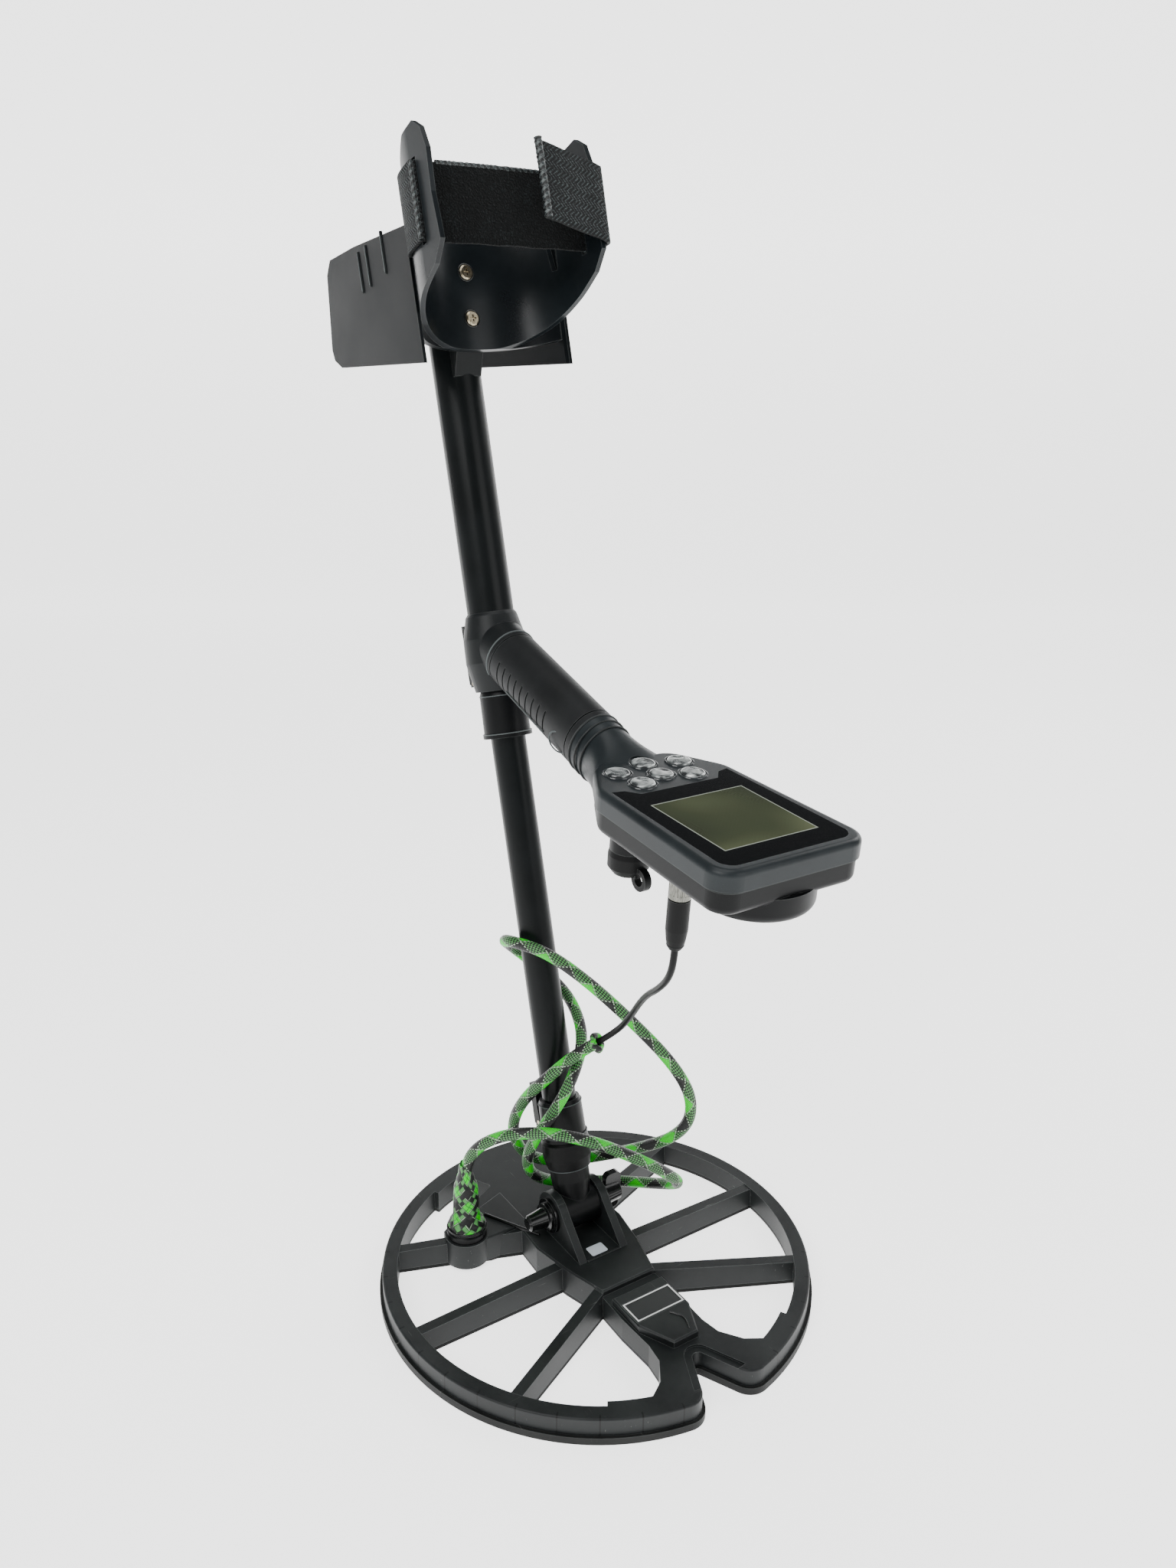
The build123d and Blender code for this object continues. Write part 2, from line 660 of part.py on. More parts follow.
def make_box_bottom():
    """Bottom shell: the speaker's dome, the board's posts, the screws' bosses and two socket holes."""
    top = -top_shell_h - seal_t
    shell = prism(box_plan(bottom_inset), bottom_z, top)
    shell = fillet(shell.faces().sort_by(Axis.Z)[0].edges(), 4)
    dome = rod(bump_r, bottom_z - bump_h, bottom_z + 3)
    dome = fillet(dome.faces().sort_by(Axis.Z)[0].edges(), 5)
    shell += Pos(0, bump_y, 0) * dome
    shell -= prism(box_plan(bottom_inset + box_wall), floor_z, top + 1)
    shell -= Pos(0, bump_y, 0) * rod(bump_r - box_wall, floor_z - bump_h, floor_z + 1)
    for x, y in board_posts:
        shell += Pos(x, y, 0) * rod(2.5, floor_z, board_top - board_t)
    for x, y in case_screws:
        shell += Pos(x, y, 0) * rod(4.2, floor_z - 1, top)
        shell -= Pos(x, y, 0) * (rod(1.6, bottom_z - 1, top + 1) + rod(3.0, bottom_z - 1, bottom_z + 2))
    shell -= Pos(socket_x, coil_socket_y, 0) * rod(socket_r - 0.6, bottom_z - 1, floor_z + 1)
    shell -= Pos(socket_x, aux_socket_y, 0) * rod(aux_r - 3, bottom_z - 1, floor_z + 1)
    return box * shell


def make_box_seal():
    """Rubber seal between the two shells."""
    plan = box_plan(bottom_inset) - box_plan(bottom_inset + box_wall)
    return box * prism(plan, -top_shell_h - seal_t, -top_shell_h)


def make_case_screws():
    """Four screws from below that hold the shells together."""
    screws = []
    for x, y in case_screws:
        head = rod(2.8, bottom_z + 0.4, bottom_z + 2)
        screws.append(box * Pos(x, y, 0) * (head + rod(1.4, bottom_z + 2, -4.2)))
    return screws


def make_window():
    """Clear window over the screen."""
    return box * prism(window_plan(0.1), -window_t, 0)


def make_display():
    """Liquid-crystal module under the window."""
    half = screen_w / 2 + 0.6
    return box * block((-half, half), (-half, half), (board_top, -window_t))


def inside_plan(half, rear, front):
    """A plate that fits inside the top shell, between two distances along the box."""
    return box_plan(box_wall + 1.2) & (Pos(0, (rear + front) / 2) * Rectangle(2 * half, front - rear))


def make_board():
    """Circuit board on the posts of the bottom shell, cut away round the screw bosses."""
    board = prism(inside_plan(37, box_rear + 9, 39), board_top - board_t, board_top)
    for x, y in case_screws:
        board -= Pos(x, y, 0) * rod(5.0, -30, 0)
    return box * board


def make_keypad_mat():
    """Silicone mat on the board, with a contact pill under each button."""
    mat_top = board_top + 0.8
    body = prism(inside_plan(28, box_rear + 9, -46), board_top, mat_top)
    for x, y in button_places.values():
        body += Pos(x, y, 0) * rod(3.0, mat_top, -box_wall - flange_t - button_travel - 0.2)
    return box * body


def make_button(place):
    """Clear round button with a flange that keeps it under the top shell."""
    x, y = place
    flange = rod(button_r + flange_w, -box_wall - flange_t, -box_wall)
    stem = rod(button_r, -box_wall, 1.5)
    stem = fillet(stem.faces().sort_by(Axis.Z)[-1].edges(), 1.2)
    return box * Pos(x, y, 0) * (flange + stem)


def make_battery():
    """Rechargeable pack on the floor of the bottom shell."""
    pack = block((-25, 25), (bump_y - 24, bump_y + 24), (floor_z, floor_z + 7))
    return box * fillet(pack.edges().filter_by(Axis.Z), 2)


def make_speaker():
    """Loudspeaker in the dome."""
    low = floor_z - bump_h
    cone = turned([(0, low), (20, low), (20, low + 2), (11, low + 4), (11, low + 8), (0, low + 8)])
    return box * Pos(0, bump_y, 0) * cone


def make_vibrator():
    """Vibration motor on the floor of the box."""
    return box * Pos(-16, -55, floor_z + 4) * cross_rod(4, -9, 9)


# ---------------------------------------------------------------- sockets and plug
nut_low, nut_high = -51.0, -38.5
boot_low = -81.0


def make_coil_socket():
    """Threaded socket for the coil's plug."""
    body = rod(socket_r - 0.6, nut_high - 2, floor_z + 2) + rod(socket_r + 2.4, bottom_z - 2, bottom_z)
    return box * Pos(socket_x, coil_socket_y, 0) * body


def make_plug_nut():
    """Knurled metal ring that clamps the plug to its socket."""
    body = chamfer(rod(socket_r + 0.5, nut_low, nut_high).edges().filter_by(GeomType.CIRCLE), 0.5)
    body -= rod(socket_r - 0.6 + run_gap, nut_low - 1, nut_high + 1)
    for number in range(18):
        groove = Rot(0, 0, number * 20) * Pos(socket_r + 0.7, 0, 0) * rod(0.45, nut_low + 3, nut_high - 1.5)
        body -= groove
    return box * Pos(socket_x, coil_socket_y, 0) * body


def make_plug_boot():
    """Plug body and its rubber boot."""
    low, high = boot_low, nut_low
    body = turned(
        [(0, low), (cable_r + 1.4, low), (cable_r + 2.6, low + 2), (socket_r - 0.2, low + 6),
         (socket_r + 0.5, low + 12), (socket_r + 0.5, high - 0.2), (0, high - 0.2)]
    )
    body += rod(socket_r - 0.6, high - 0.3, nut_high - 2)
    return box * Pos(socket_x, coil_socket_y, 0) * body


def make_aux_socket():
    """Headphone and charging socket in its round housing."""
    low = bottom_z - aux_h
    body = rod(aux_r, low + 8, bottom_z) + rod(aux_r - 1.6, low, bottom_z)
    body = body + rod(aux_r - 3, bottom_z, floor_z + 1.5) - rod(4.0, low - 1, low + 7)
    return box * Pos(socket_x, aux_socket_y, 0) * body


def make_aux_cap():
    """Rubber cap with a pull eye."""
    high = bottom_z - aux_h + 8 - 0.1
    low = bottom_z - aux_h - 6
    body = turned(
        [(0, low), (aux_r - 2.5, low), (aux_r - 0.5, low + 2.5), (aux_r + 0.6, low + 4),
         (aux_r + 0.6, high - 3), (aux_r - 0.1, high), (0, high)]
    )
    body -= rod(aux_r - 1.6 + run_gap, bottom_z - aux_h - 0.1, high + 1)
    eye = Pos(0, aux_r + 1.6, low + 0.5) * cross_rod(6.4, -2.2, 2.2)
    eye -= rod(aux_r - 1.6 + run_gap, bottom_z - aux_h - 0.1, high + 1)
    hole = Pos(0, aux_r + 1.6, low + 0.5) * cross_rod(3.6, -5, 5)
    keep = rod(aux_r - 1.0, low, high)
    return box * Pos(socket_x, aux_socket_y, 0) * (body + eye - (hole - keep))


# ---------------------------------------------------------------- arm cuff
cuff_middle = cuff_back + cuff_r


def cuff_section(inner, outer, reach):
    """A U in section: half a ring about the forearm, with straight sides as far as reach."""
    ring = Pos(0, cuff_middle) * (Circle(outer) - Circle(inner))
    below = Rectangle(4 * outer, 2 * outer, align=(Align.CENTER, Align.MAX))
    half = ring & (Pos(0, cuff_middle) * below)
    if reach <= cuff_middle:
        return ring & (Pos(0, reach) * Rectangle(4 * outer, 4 * outer, align=(Align.CENTER, Align.MAX)))
    wall = Rectangle(outer - inner, reach - cuff_middle + 0.2)
    for side in (1, -1):
        half += Pos(side * (inner + outer) / 2, (reach + cuff_middle) / 2) * wall
    return half


def make_cuff():
    """Forearm cuff: a U of thin plastic with a tall wing on each side, slotted for the strap."""
    section = prism(cuff_section(cuff_r, cuff_r + cuff_wall, 104), 540, 660)
    profile = [
        (15, 548), (30, 549), (48, 557), (66, 566), (90, 577), (100, 587), (97, 612), (98, 634),
        (94, 646), (86, 652), (72, 650), (62, 640), (59, 620), (58, 588), (54.5, 588), (52, 606),
        (44, 620), (36, 625), (15, 625),
    ]
    side = side_view(profile, 2 * cuff_r)
    body = section & side
    for x in (cuff_r + 1.5, -cuff_r - 1.5):
        slot_height = (strap_low - 1.5, strap_low + strap_w + 1.5)
        body -= block((x - 3, x + 3), (slot_v - 2.5, slot_v + 2.5), slot_height)
    for height in screw_heights:
        body -= Pos(0, cuff_back + 1, height) * Rot(90, 0, 0) * rod(1.8, 0, 6)
        body -= Pos(0, cuff_back, height) * Rot(-90, 0, 0) * rod(4.5, 0, 3)
    return shaft * body


def make_stand():
    """Rest behind the cuff: a yoke round the cuff's back and two broad legs."""
    inner, outer = cuff_r + cuff_wall, cuff_r + cuff_wall + stand_wall
    yoke = prism(cuff_section(inner, outer, 52), 549, 606)
    legs = None
    for side in (1, -1):
        corners = [(-3.4, leg_front), (-0.2, leg_front), (-4.0, -stand_reach), (-7.0, -stand_reach)]
        leg = prism(outline([(side * (cuff_r + x), v) for x, v in corners]), 520, 640)
        legs = leg if legs is None else legs + leg
    legs -= prism(Pos(0, cuff_middle) * Circle(inner), 500, 660)
    profile = [
        (leg_front, 534), (12 - stand_reach, 562), (2 - stand_reach, 569), (-stand_reach, 576),
        (10 - stand_reach, 620), (18 - stand_reach, 627), (-20, 622), (leg_front, 609),
    ]
    body = yoke + (legs & side_view(profile, 80))
    for v in (-14, -2, 22):
        for side in (1, -1):
            x = cuff_r - 2.0 + v * 0.028
            low, high = sorted((side * (x - 0.8), side * (x + 0.9)))
            body += block((low, high), (v - 0.6, v + 0.6), (593, 617))
    for height in screw_heights:
        body -= Pos(0, cuff_back + 1, height) * Rot(90, 0, 0) * rod(1.8, 0, 12)
    return shaft * body


def make_cuff_screws():
    """Two cross-head screws through the cuff and the rest into the upper tube's boss."""
    screws = []
    for height in screw_heights:
        head = chamfer(rod(4.3, 0, 2.0).edges().sort_by(Axis.Z)[-1], 0.8)
        head -= Pos(0, 0, 1.6) * (Box(4.2, 0.9, 1.4) + Box(0.9, 4.2, 1.4))
        screw = head + rod(1.6, -11.5, 0)
        screws.append(shaft * Pos(0, cuff_back, height) * Rot(-90, 0, 0) * screw)
    return screws


def make_strap():
    """Webbing strap: a band across the cuff, a loop round one wing and a flap back over the other."""
    gap = 0.3
    inside, outside = cuff_r - gap, cuff_r + cuff_wall + gap
    far = outside + strap_t
    half = strap_t / 2
    front = 101.3
    beside = (Align.MIN, Align.CENTER)
    left = Rectangle(far, slot_v + half - loop_back, align=beside)
    left = Pos(0, (loop_back + slot_v + half) / 2) * left
    turn = Pos(0, loop_back + half) * Rectangle(far, strap_t, align=beside)
    loop = cuff_section(outside, far, slot_v + half) + cuff_section(inside - strap_t, inside, slot_v)
    section = (loop & left) + (cuff_section(inside - strap_t, far, slot_v) & turn)
    section += Pos(0, slot_v) * Rectangle(2 * far, strap_t)
    corner = (Align.MIN, Align.MIN)
    section += Pos(-far, slot_v - half) * Rectangle(strap_t, front + strap_t - slot_v + half, align=corner)
    section += Pos(-far, front) * Rectangle(far - 22, strap_t, align=corner)
    return shaft * prism(section, strap_low, strap_low + strap_w)


# ---------------------------------------------------------------- coil cable
boot_end = Pos(gland_x, gland_y, hub_top + gland_h + boot_h).position
plug_end = (box * Pos(socket_x, coil_socket_y, boot_low)).position
plug_straight = (box * Pos(socket_x, coil_socket_y, boot_low - 10)).position
sleeve_route = [
    boot_end, (64, -58, 73), (59, -49, 91), (46, -33, 104), (26, -14, 108), (4, 1, 102),
    (-19, 10, 88), (-40, 14, 72), (-55, 14, 58), (-62, 4, 46), (-58, -16, 36), (-47, -38, 29),
    (-27, -53, 28), (-2, -60, 33), (16, -56, 49), (25, -46, 69), (26, -35, 91), (17, -25, 113),
    (3, -24, 134), (-14, -37, 151), (-22, -62, 164), (-16, -82, 177), (-3, -93, 190),
    (10, -93, 203), (20, -81, 213), (19, -65, 217), (6, -49, 213), (-11, -27, 197), (-31, -6, 172),
    (-48, 11, 148), (-58, 20, 126), (-59, 20, 106), (-53, 11, 90), (-43, -7, 76), (-31, -32, 60),
    (-15, -55, 48), (4, -66, 49), (20, -65, 65), (28, -60, 89), (26, -48, 114), (16, -31, 137),
    (1, -24, 151), (-7, -13, 162),
]
cable_route = [
    (-7, -13, 162), (-15, -2, 173), (-13, 15, 192), (-5, 35, 213), (2, 52, 228), (9, 70, 241), (13, 84, 254),
    plug_straight, plug_end,
]


def make_cord(name, route, radius):
    """A round cord along straight runs, joined by arcs as large as the runs allow."""
    points = [Vector(*point) for point in route]
    runs = [end - start for start, end in zip(points, points[1:])]
    radii = []
    for before, after in zip(runs, runs[1:]):
        half_turn = radians(before.get_angle(after)) / 2
        radii.append(0.45 * min(before.length, after.length) / tan(half_turn))
    path = FilletPolyline(*points, radius=radii)
    tube = sweep(Plane(origin=path @ 0, z_dir=path % 0) * Circle(radius), path)
    length = path.length
    share = tube.volume / (pi * radius**2 * length)
    print(f"{name}: {length:.0f} mm long, tube volume {share:.4f} of section times length")
    print("  bend radii in mm:", ", ".join(f"{value:.0f}" for value in radii))
    return tube


# ---------------------------------------------------------------- the parts
def save_coil():
    save("coil_shell", make_coil_shell())
    save("coil_cover", make_coil_cover())
    save("transmit_winding", winding(1, tx_low))
    save("receive_winding", winding(-1, rx_low))
    save("coil_badge", make_badge())
    save("cable_gland", make_gland())
    save("cable_boot", make_boot())
    save("hinge_bolt", make_bolt())
    save("hinge_washers", make_washer(1), make_washer(-1))
    save("wing_nut", make_wing_nut())


def save_shaft():
    save("lower_yoke", make_yoke())
    save("lower_bumper", make_bumper())
    save("lower_tube", make_lower_tube())
    save("middle_tube", make_middle_tube())
    save("lower_lock", make_lower_lock())
    save("lower_lock_lever", make_lever(lower_pin, lower_lever))
    save("lower_lock_pin", make_pin(lower_pin))
    save("upper_tube", make_stem())
    save("tube_cap", make_stem_plug())
    save("upper_lock", make_upper_lock())
    save("upper_lock_lever", make_lever(upper_pin, upper_lever))
    save("upper_lock_pin", make_pin(upper_pin))
    save("handle_frame", make_handle())
    save("grip_rubber", make_grip_rubber())


def save_box():
    save("box_top", make_box_top())
    save("box_bottom", make_box_bottom())
    save("box_seal", make_box_seal())
    save("case_screws", *make_case_screws())
    save("screen_window", make_window())
    save("screen", make_display())
    save("circuit_board", make_board())
    save("keypad_mat", make_keypad_mat())
    for name, place in button_places.items():
        save(f"button_{name}", make_button(place))
    save("battery", make_battery())
    save("speaker", make_speaker())
    save("vibration_motor", make_vibrator())
    save("coil_socket", make_coil_socket())
    save("plug_nut", make_plug_nut())
    save("plug_boot", make_plug_boot())
    save("aux_socket", make_aux_socket())
    save("aux_cap", make_aux_cap())


def save_cuff():
    save("arm_cuff", make_cuff())
    save("arm_rest", make_stand())
    save("cuff_screws", *make_cuff_screws())
    save("arm_strap", make_strap())


def save_cable():
    save("cable_sleeve", make_cord("cable_sleeve", sleeve_route, sleeve_r))
    save("coil_cable", make_cord("coil_cable", cable_route, cable_r))


save_coil()
save_shaft()
save_box()
save_cuff()
save_cable()
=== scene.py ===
# %% [markdown]
# # A handheld metal detector, standing closed up on its search coil
# The imported model gives the exact frame: every tube, shell and hinge is in place. This lesson gives
# each of its parts a finish, and models what a CAD solid can't show: the two-colour braid on
# the cable, the woven strap, printed lines, rings and ribs. Lengths are in metres, and +Y is the
# coil's notched front.

# %% Load the frame
from math import atan2, cos, pi, radians, sin, sqrt

import bmesh
import bpy
from mathutils import Matrix, Quaternion, Vector


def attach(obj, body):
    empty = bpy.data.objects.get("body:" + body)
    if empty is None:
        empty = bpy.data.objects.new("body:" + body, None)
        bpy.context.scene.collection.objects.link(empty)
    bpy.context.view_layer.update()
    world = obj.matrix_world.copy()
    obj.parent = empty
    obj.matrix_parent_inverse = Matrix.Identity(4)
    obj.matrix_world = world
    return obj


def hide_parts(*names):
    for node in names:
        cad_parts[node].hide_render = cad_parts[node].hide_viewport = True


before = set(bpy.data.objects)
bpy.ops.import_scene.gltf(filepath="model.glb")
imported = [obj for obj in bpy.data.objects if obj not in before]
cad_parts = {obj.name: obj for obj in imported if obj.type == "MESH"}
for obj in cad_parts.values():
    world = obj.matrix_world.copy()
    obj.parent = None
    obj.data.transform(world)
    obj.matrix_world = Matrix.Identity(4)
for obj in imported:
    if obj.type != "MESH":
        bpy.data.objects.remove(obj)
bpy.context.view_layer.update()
MM = 0.001
bpy.ops.object.select_all(action="DESELECT")
print("parts in the frame:", len(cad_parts))

# %% [markdown]
# ## The camera
# The camera stands in front of the detector and to its right, a little above the control box, and
# looks down at it. Its place is in millimetres, and its lens is that of a phone's main camera. No
# depth of field is used, so other views can borrow this camera.

# %% Camera
CAMERA_AT = Vector((386.5, 565.2, 568.2)) * MM
CAMERA_YAW, CAMERA_PITCH, CAMERA_ROLL = radians(-123.71), radians(-18.55), radians(0.49)
camera_data = bpy.data.cameras.new("view")
camera_data.sensor_fit = "VERTICAL"
camera_data.sensor_height = 36.0
camera_data.lens = 28.97
camera_data.clip_start = 0.02
camera = bpy.data.objects.new("view", camera_data)
bpy.context.scene.collection.objects.link(camera)
sight = Vector((cos(CAMERA_PITCH) * cos(CAMERA_YAW), cos(CAMERA_PITCH) * sin(CAMERA_YAW), sin(CAMERA_PITCH)))
turn = sight.to_track_quat("-Z", "Y") @ Quaternion((0, 0, 1), CAMERA_ROLL)
camera.location = CAMERA_AT
camera.rotation_mode = "QUATERNION"
camera.rotation_quaternion = turn
bpy.context.scene.camera = camera

# %% [markdown]
# ## Two frames of its own
# Most of this object hangs on a leaning shaft, so its places are easiest to give along the shaft:
# x to the side, v forward and w up the shaft from the tilt hinge. The control box has a frame too,
# with its origin at the middle of the screen. Each small function turns such a place into a point.

# %% Frames of the shaft, the grip and the box
SHAFT = Matrix.Translation((0, -26 * MM, 36 * MM)) @ Matrix.Rotation(radians(14.8), 4, "X")
BOX = Matrix.Translation((0, 116.2 * MM, 354.7 * MM)) @ Matrix.Rotation(radians(-4.8), 4, "X")
GRIP = SHAFT @ Matrix.Translation((0, 0, 376.5 * MM)) @ Matrix.Rotation(radians(-33.8 - 90), 4, "X")


def place(frame_matrix, x, y, z):
    """A point given in millimetres in one of the frames, in metres in the row frame."""
    return frame_matrix @ Vector((x * MM, y * MM, z * MM))


# %% [markdown]
# ## Colours and nodes
# Paint and plastic colours are easiest to note as sRGB hex values, but Blender's shaders work in
# linear light, so one function converts them. A second function adds a node and wires it in one call,
# and a few short ones on top of it name the steps that come back in every material.

# %% Colour and node helpers
def linear(code):
    """An sRGB hex colour as linear RGBA."""
    parts = [int(code[i:i + 2], 16) / 255 for i in (1, 3, 5)]
    return tuple(c / 12.92 if c <= 0.04045 else ((c + 0.055) / 1.055) ** 2.4 for c in parts) + (1.0,)


def add(tree, kind, inputs=None, **settings):
    """Adds a node. inputs maps a socket's name or number to a value, or to a socket that feeds it."""
    made = tree.nodes.new(kind)
    for name, value in settings.items():
        setattr(made, name, value)
    for key, value in (inputs or {}).items():
        if isinstance(value, bpy.types.NodeSocket):
            tree.links.new(value, made.inputs[key])
        else:
            made.inputs[key].default_value = value
    return made


def start_material(name, **principled):
    """A material with one Principled shader, and its tree."""
    material = bpy.data.materials.new(name)
    material.use_nodes = True
    tree = material.node_tree
    shader = tree.nodes["Principled BSDF"]
    for key, value in principled.items():
        shader.inputs[key.replace("_", " ")].default_value = value
    return material, tree, shader


def ramp(tree, factor, *stops):
    """A colour ramp through (position, hex) stops."""
    made = add(tree, "ShaderNodeValToRGB", {0: factor})
    while len(made.color_ramp.elements) < len(stops):
        made.color_ramp.elements.new(0.5)
    for element, (position, code) in zip(made.color_ramp.elements, stops):
        element.position = position
        element.color = linear(code)
    return made.outputs[0]


def maths(tree, operation, first, second=0.0, clamp=False):
    """One step of arithmetic in a shader."""
    step = add(tree, "ShaderNodeMath", {0: first, 1: second}, operation=operation, use_clamp=clamp)
    return step.outputs[0]


def times(tree, first, second, clamp=False):
    """The product of two values in a shader."""
    return maths(tree, "MULTIPLY", first, second, clamp)


def minus(tree, first, second, clamp=False):
    """The first value less the second in a shader."""
    return maths(tree, "SUBTRACT", first, second, clamp)


def object_place(tree):
    """Each point's place in the row frame, in metres."""
    return add(tree, "ShaderNodeTexCoord").outputs["Object"]


def noise(tree, at, size, detail=2.0, **more):
    """Noise whose features are about this size, in the units of at."""
    inputs = {"Vector": at, "Scale": 1 / size, "Detail": detail, **more}
    return add(tree, "ShaderNodeTexNoise", inputs).outputs[0]


def mix_colours(tree, share, first, second):
    """A blend from the first colour to the second."""
    return add(tree, "ShaderNodeMix", {0: share, 6: first, 7: second}, data_type="RGBA").outputs[2]


def emboss(tree, shader, height, strength, distance):
    """Lets a height show in a material as small relief."""
    bump = add(tree, "ShaderNodeBump", {"Height": height, "Strength": strength, "Distance": distance})
    tree.links.new(bump.outputs[0], shader.inputs["Normal"])


# %% [markdown]
# ## Moulded plastics
# The shells, ears, levers and cuff are injection-moulded ABS and nylon. The mould is spark-eroded,
# which leaves a fine grain of about 0.3 mm that spreads each highlight. Handling polishes patches of
# it, and a coil that is swept over stony ground gets pale scratches. So the finish is one base colour
# with a slow change of tone, a fine bump for the grain, uneven roughness, pale painted highlights along
# the edges and, where they are wanted, scratches and the ticks pressed into the coil's rim.

# %% Moulded plastic
# The third colour here is the pale colour of painted highlights along edges.
SCRATCH_COLOUR, TICK_COLOUR, EDGE_HIGHLIGHT_COLOUR = "#8A8A86", "#050505", "#6E7371"
TICK_HALF_STEP = radians(5.0)     # so the ticks are ten degrees apart
TICK_HALF_WIDTH = 0.0035          # radians
TICKS_START = 134.5 * MM          # distance from the coil's centre
EDGE_REACH = 0.7 * MM


def scratch_marks(tree, at, patches, strength):
    """Fine scratches in two directions, where a slow pattern lets them show."""
    marks = []
    for lean, scale in ((0.7, (900, 40, 300)), (-0.9, (40, 800, 260))):
        stretched = add(tree, "ShaderNodeMapping", {0: at, "Rotation": (0, 0, lean), "Scale": scale})
        marks.append(noise(tree, stretched.outputs[0], 1.0, detail=3.0))
    lines = times(tree, minus(tree, maths(tree, "MAXIMUM", *marks), 0.70), 9.0, clamp=True)
    patch = times(tree, minus(tree, patches, 0.42), 4.0, clamp=True)
    return times(tree, times(tree, lines, patch), strength)


def rim_ticks(tree, at, strength):
    """Short dark ticks round the outside of the coil's rim."""
    spot = add(tree, "ShaderNodeSeparateXYZ", {0: at}).outputs
    angle = maths(tree, "ADD", maths(tree, "ARCTAN2", spot[1], spot[0]), 10.0)
    tick = maths(tree, "LESS_THAN", maths(tree, "PINGPONG", angle, TICK_HALF_STEP), TICK_HALF_WIDTH)
    reach = maths(tree, "ADD", times(tree, spot[0], spot[0]), times(tree, spot[1], spot[1]))
    tick = times(tree, tick, maths(tree, "GREATER_THAN", reach, TICKS_START ** 2))
    return times(tree, tick, strength)


def painted_edge_highlights(tree, patches, strength):
    """Painted highlights along edges, found where a rounded normal leaves the face's own, uneven in strength.
    """
    rounded = add(tree, "ShaderNodeBevel", {"Radius": EDGE_REACH}, samples=4).outputs[0]
    flat = add(tree, "ShaderNodeNewGeometry").outputs["Normal"]
    facing = add(tree, "ShaderNodeVectorMath", {0: rounded, 1: flat}, operation="DOT_PRODUCT")
    edge_lit = times(tree, minus(tree, 0.985, facing.outputs["Value"]), 5.0, clamp=True)
    return times(tree, times(tree, edge_lit, patches), strength * 1.6, clamp=True)


def moulded(name, colour, worn, roughness, grain_mm=0.35, grain=0.12, scratches=0.0, coat=0.0,
            ticks=0.0, shine=0.13, edge=0.35):
    """Moulded plastic or rubber. worn is the colour of its rubbed patches; edge is the strength of the
    painted highlights along its edges.
    """
    material, tree, shader = start_material(
        name, Roughness=roughness, Coat_Weight=coat, Coat_Roughness=0.25, Specular_IOR_Level=shine
    )
    at = object_place(tree)
    cloud = noise(tree, at, 0.045, detail=5.0, Roughness=0.6)
    tone = ramp(tree, cloud, (0.30, colour), (0.72, worn))
    if scratches:
        tone = mix_colours(tree, scratch_marks(tree, at, cloud, scratches), tone, linear(SCRATCH_COLOUR))
    if ticks:
        tone = mix_colours(tree, rim_ticks(tree, at, ticks), tone, linear(TICK_COLOUR))
    # Pale painted highlights along the edges are mixed into the colour here.
    tone = mix_colours(tree, painted_edge_highlights(tree, cloud, edge), tone, linear(EDGE_HIGHLIGHT_COLOUR))
    tree.links.new(tone, shader.inputs["Base Color"])
    uneven = maths(tree, "ADD", times(tree, cloud, 0.24), roughness - 0.12)
    tree.links.new(uneven, shader.inputs["Roughness"])
    emboss(tree, shader, noise(tree, at, grain_mm * MM), grain, 0.0002)
    return material


coil_abs = moulded("worn_coil_ABS", "#131516", "#242727", 0.44, grain=0.2, scratches=0.7, ticks=0.8,
                   shine=0.24, edge=0.7)
skid_abs = moulded("skid_cover_ABS", "#111212", "#262726", 0.50, grain=0.25, scratches=1.0)
black_nylon = moulded("black_glass_filled_nylon", "#08090A", "#101112", 0.36, grain=0.15)
polished_nylon = moulded("polished_black_nylon", "#060607", "#0B0C0C", 0.20, grain=0.05, shine=0.4)
rest_nylon = moulded("black_rest_nylon", "#050709", "#0A0D0F", 0.34, grain=0.08, shine=0.07)
cuff_nylon = moulded("black_cuff_nylon", "#0A0D0F", "#12171A", 0.30, grain=0.08, coat=0.08, shine=0.24)
handle_nylon = moulded("charcoal_handle_nylon", "#0D0F10", "#171A1B", 0.42, grain=0.2, shine=0.2)
box_abs = moulded("grey_case_ABS", "#171B1D", "#23282A", 0.34, grain=0.15, shine=0.20)
grip_rubber = moulded("soft_grip_rubber", "#0C0D0E", "#191B1C", 0.52, grain_mm=0.5, grain=0.3, shine=0.22)
black_rubber = moulded("black_EPDM_rubber", "#070708", "#0F1010", 0.46, grain_mm=0.5, grain=0.25)
cable_jacket = moulded("black_PU_cable_jacket", "#070708", "#0D0D0E", 0.34, grain_mm=0.6, grain=0.1)
tube_black = moulded("black_anodised_tube", "#080A0A", "#0E1112", 0.30, grain_mm=0.2, grain=0.06)
# This finish's pale lines are painted highlights along edges.
highlight_line_finish = moulded("painted_highlight_line", "#3C4142", "#565C5C", 0.34, grain=0.1)
silicone = moulded("keypad_silicone", "#B9BDBE", "#C9CCCC", 0.45)
board_resin = moulded("green_solder_resist", "#0B4A25", "#12582E", 0.30)
cell_wrap = moulded("battery_shrink_wrap", "#20356F", "#2A4282", 0.30)

# %% [markdown]
# ## Metals, glass and prints
# The cuff's screws are plain stainless steel, turned and then rumbled, so fine rings show in their
# heads. The ring on the plug is nickel-plated brass with a knurl cut into it. The screen's window is
# clear acrylic, printed black from behind, over an unlit liquid-crystal glass that looks olive.

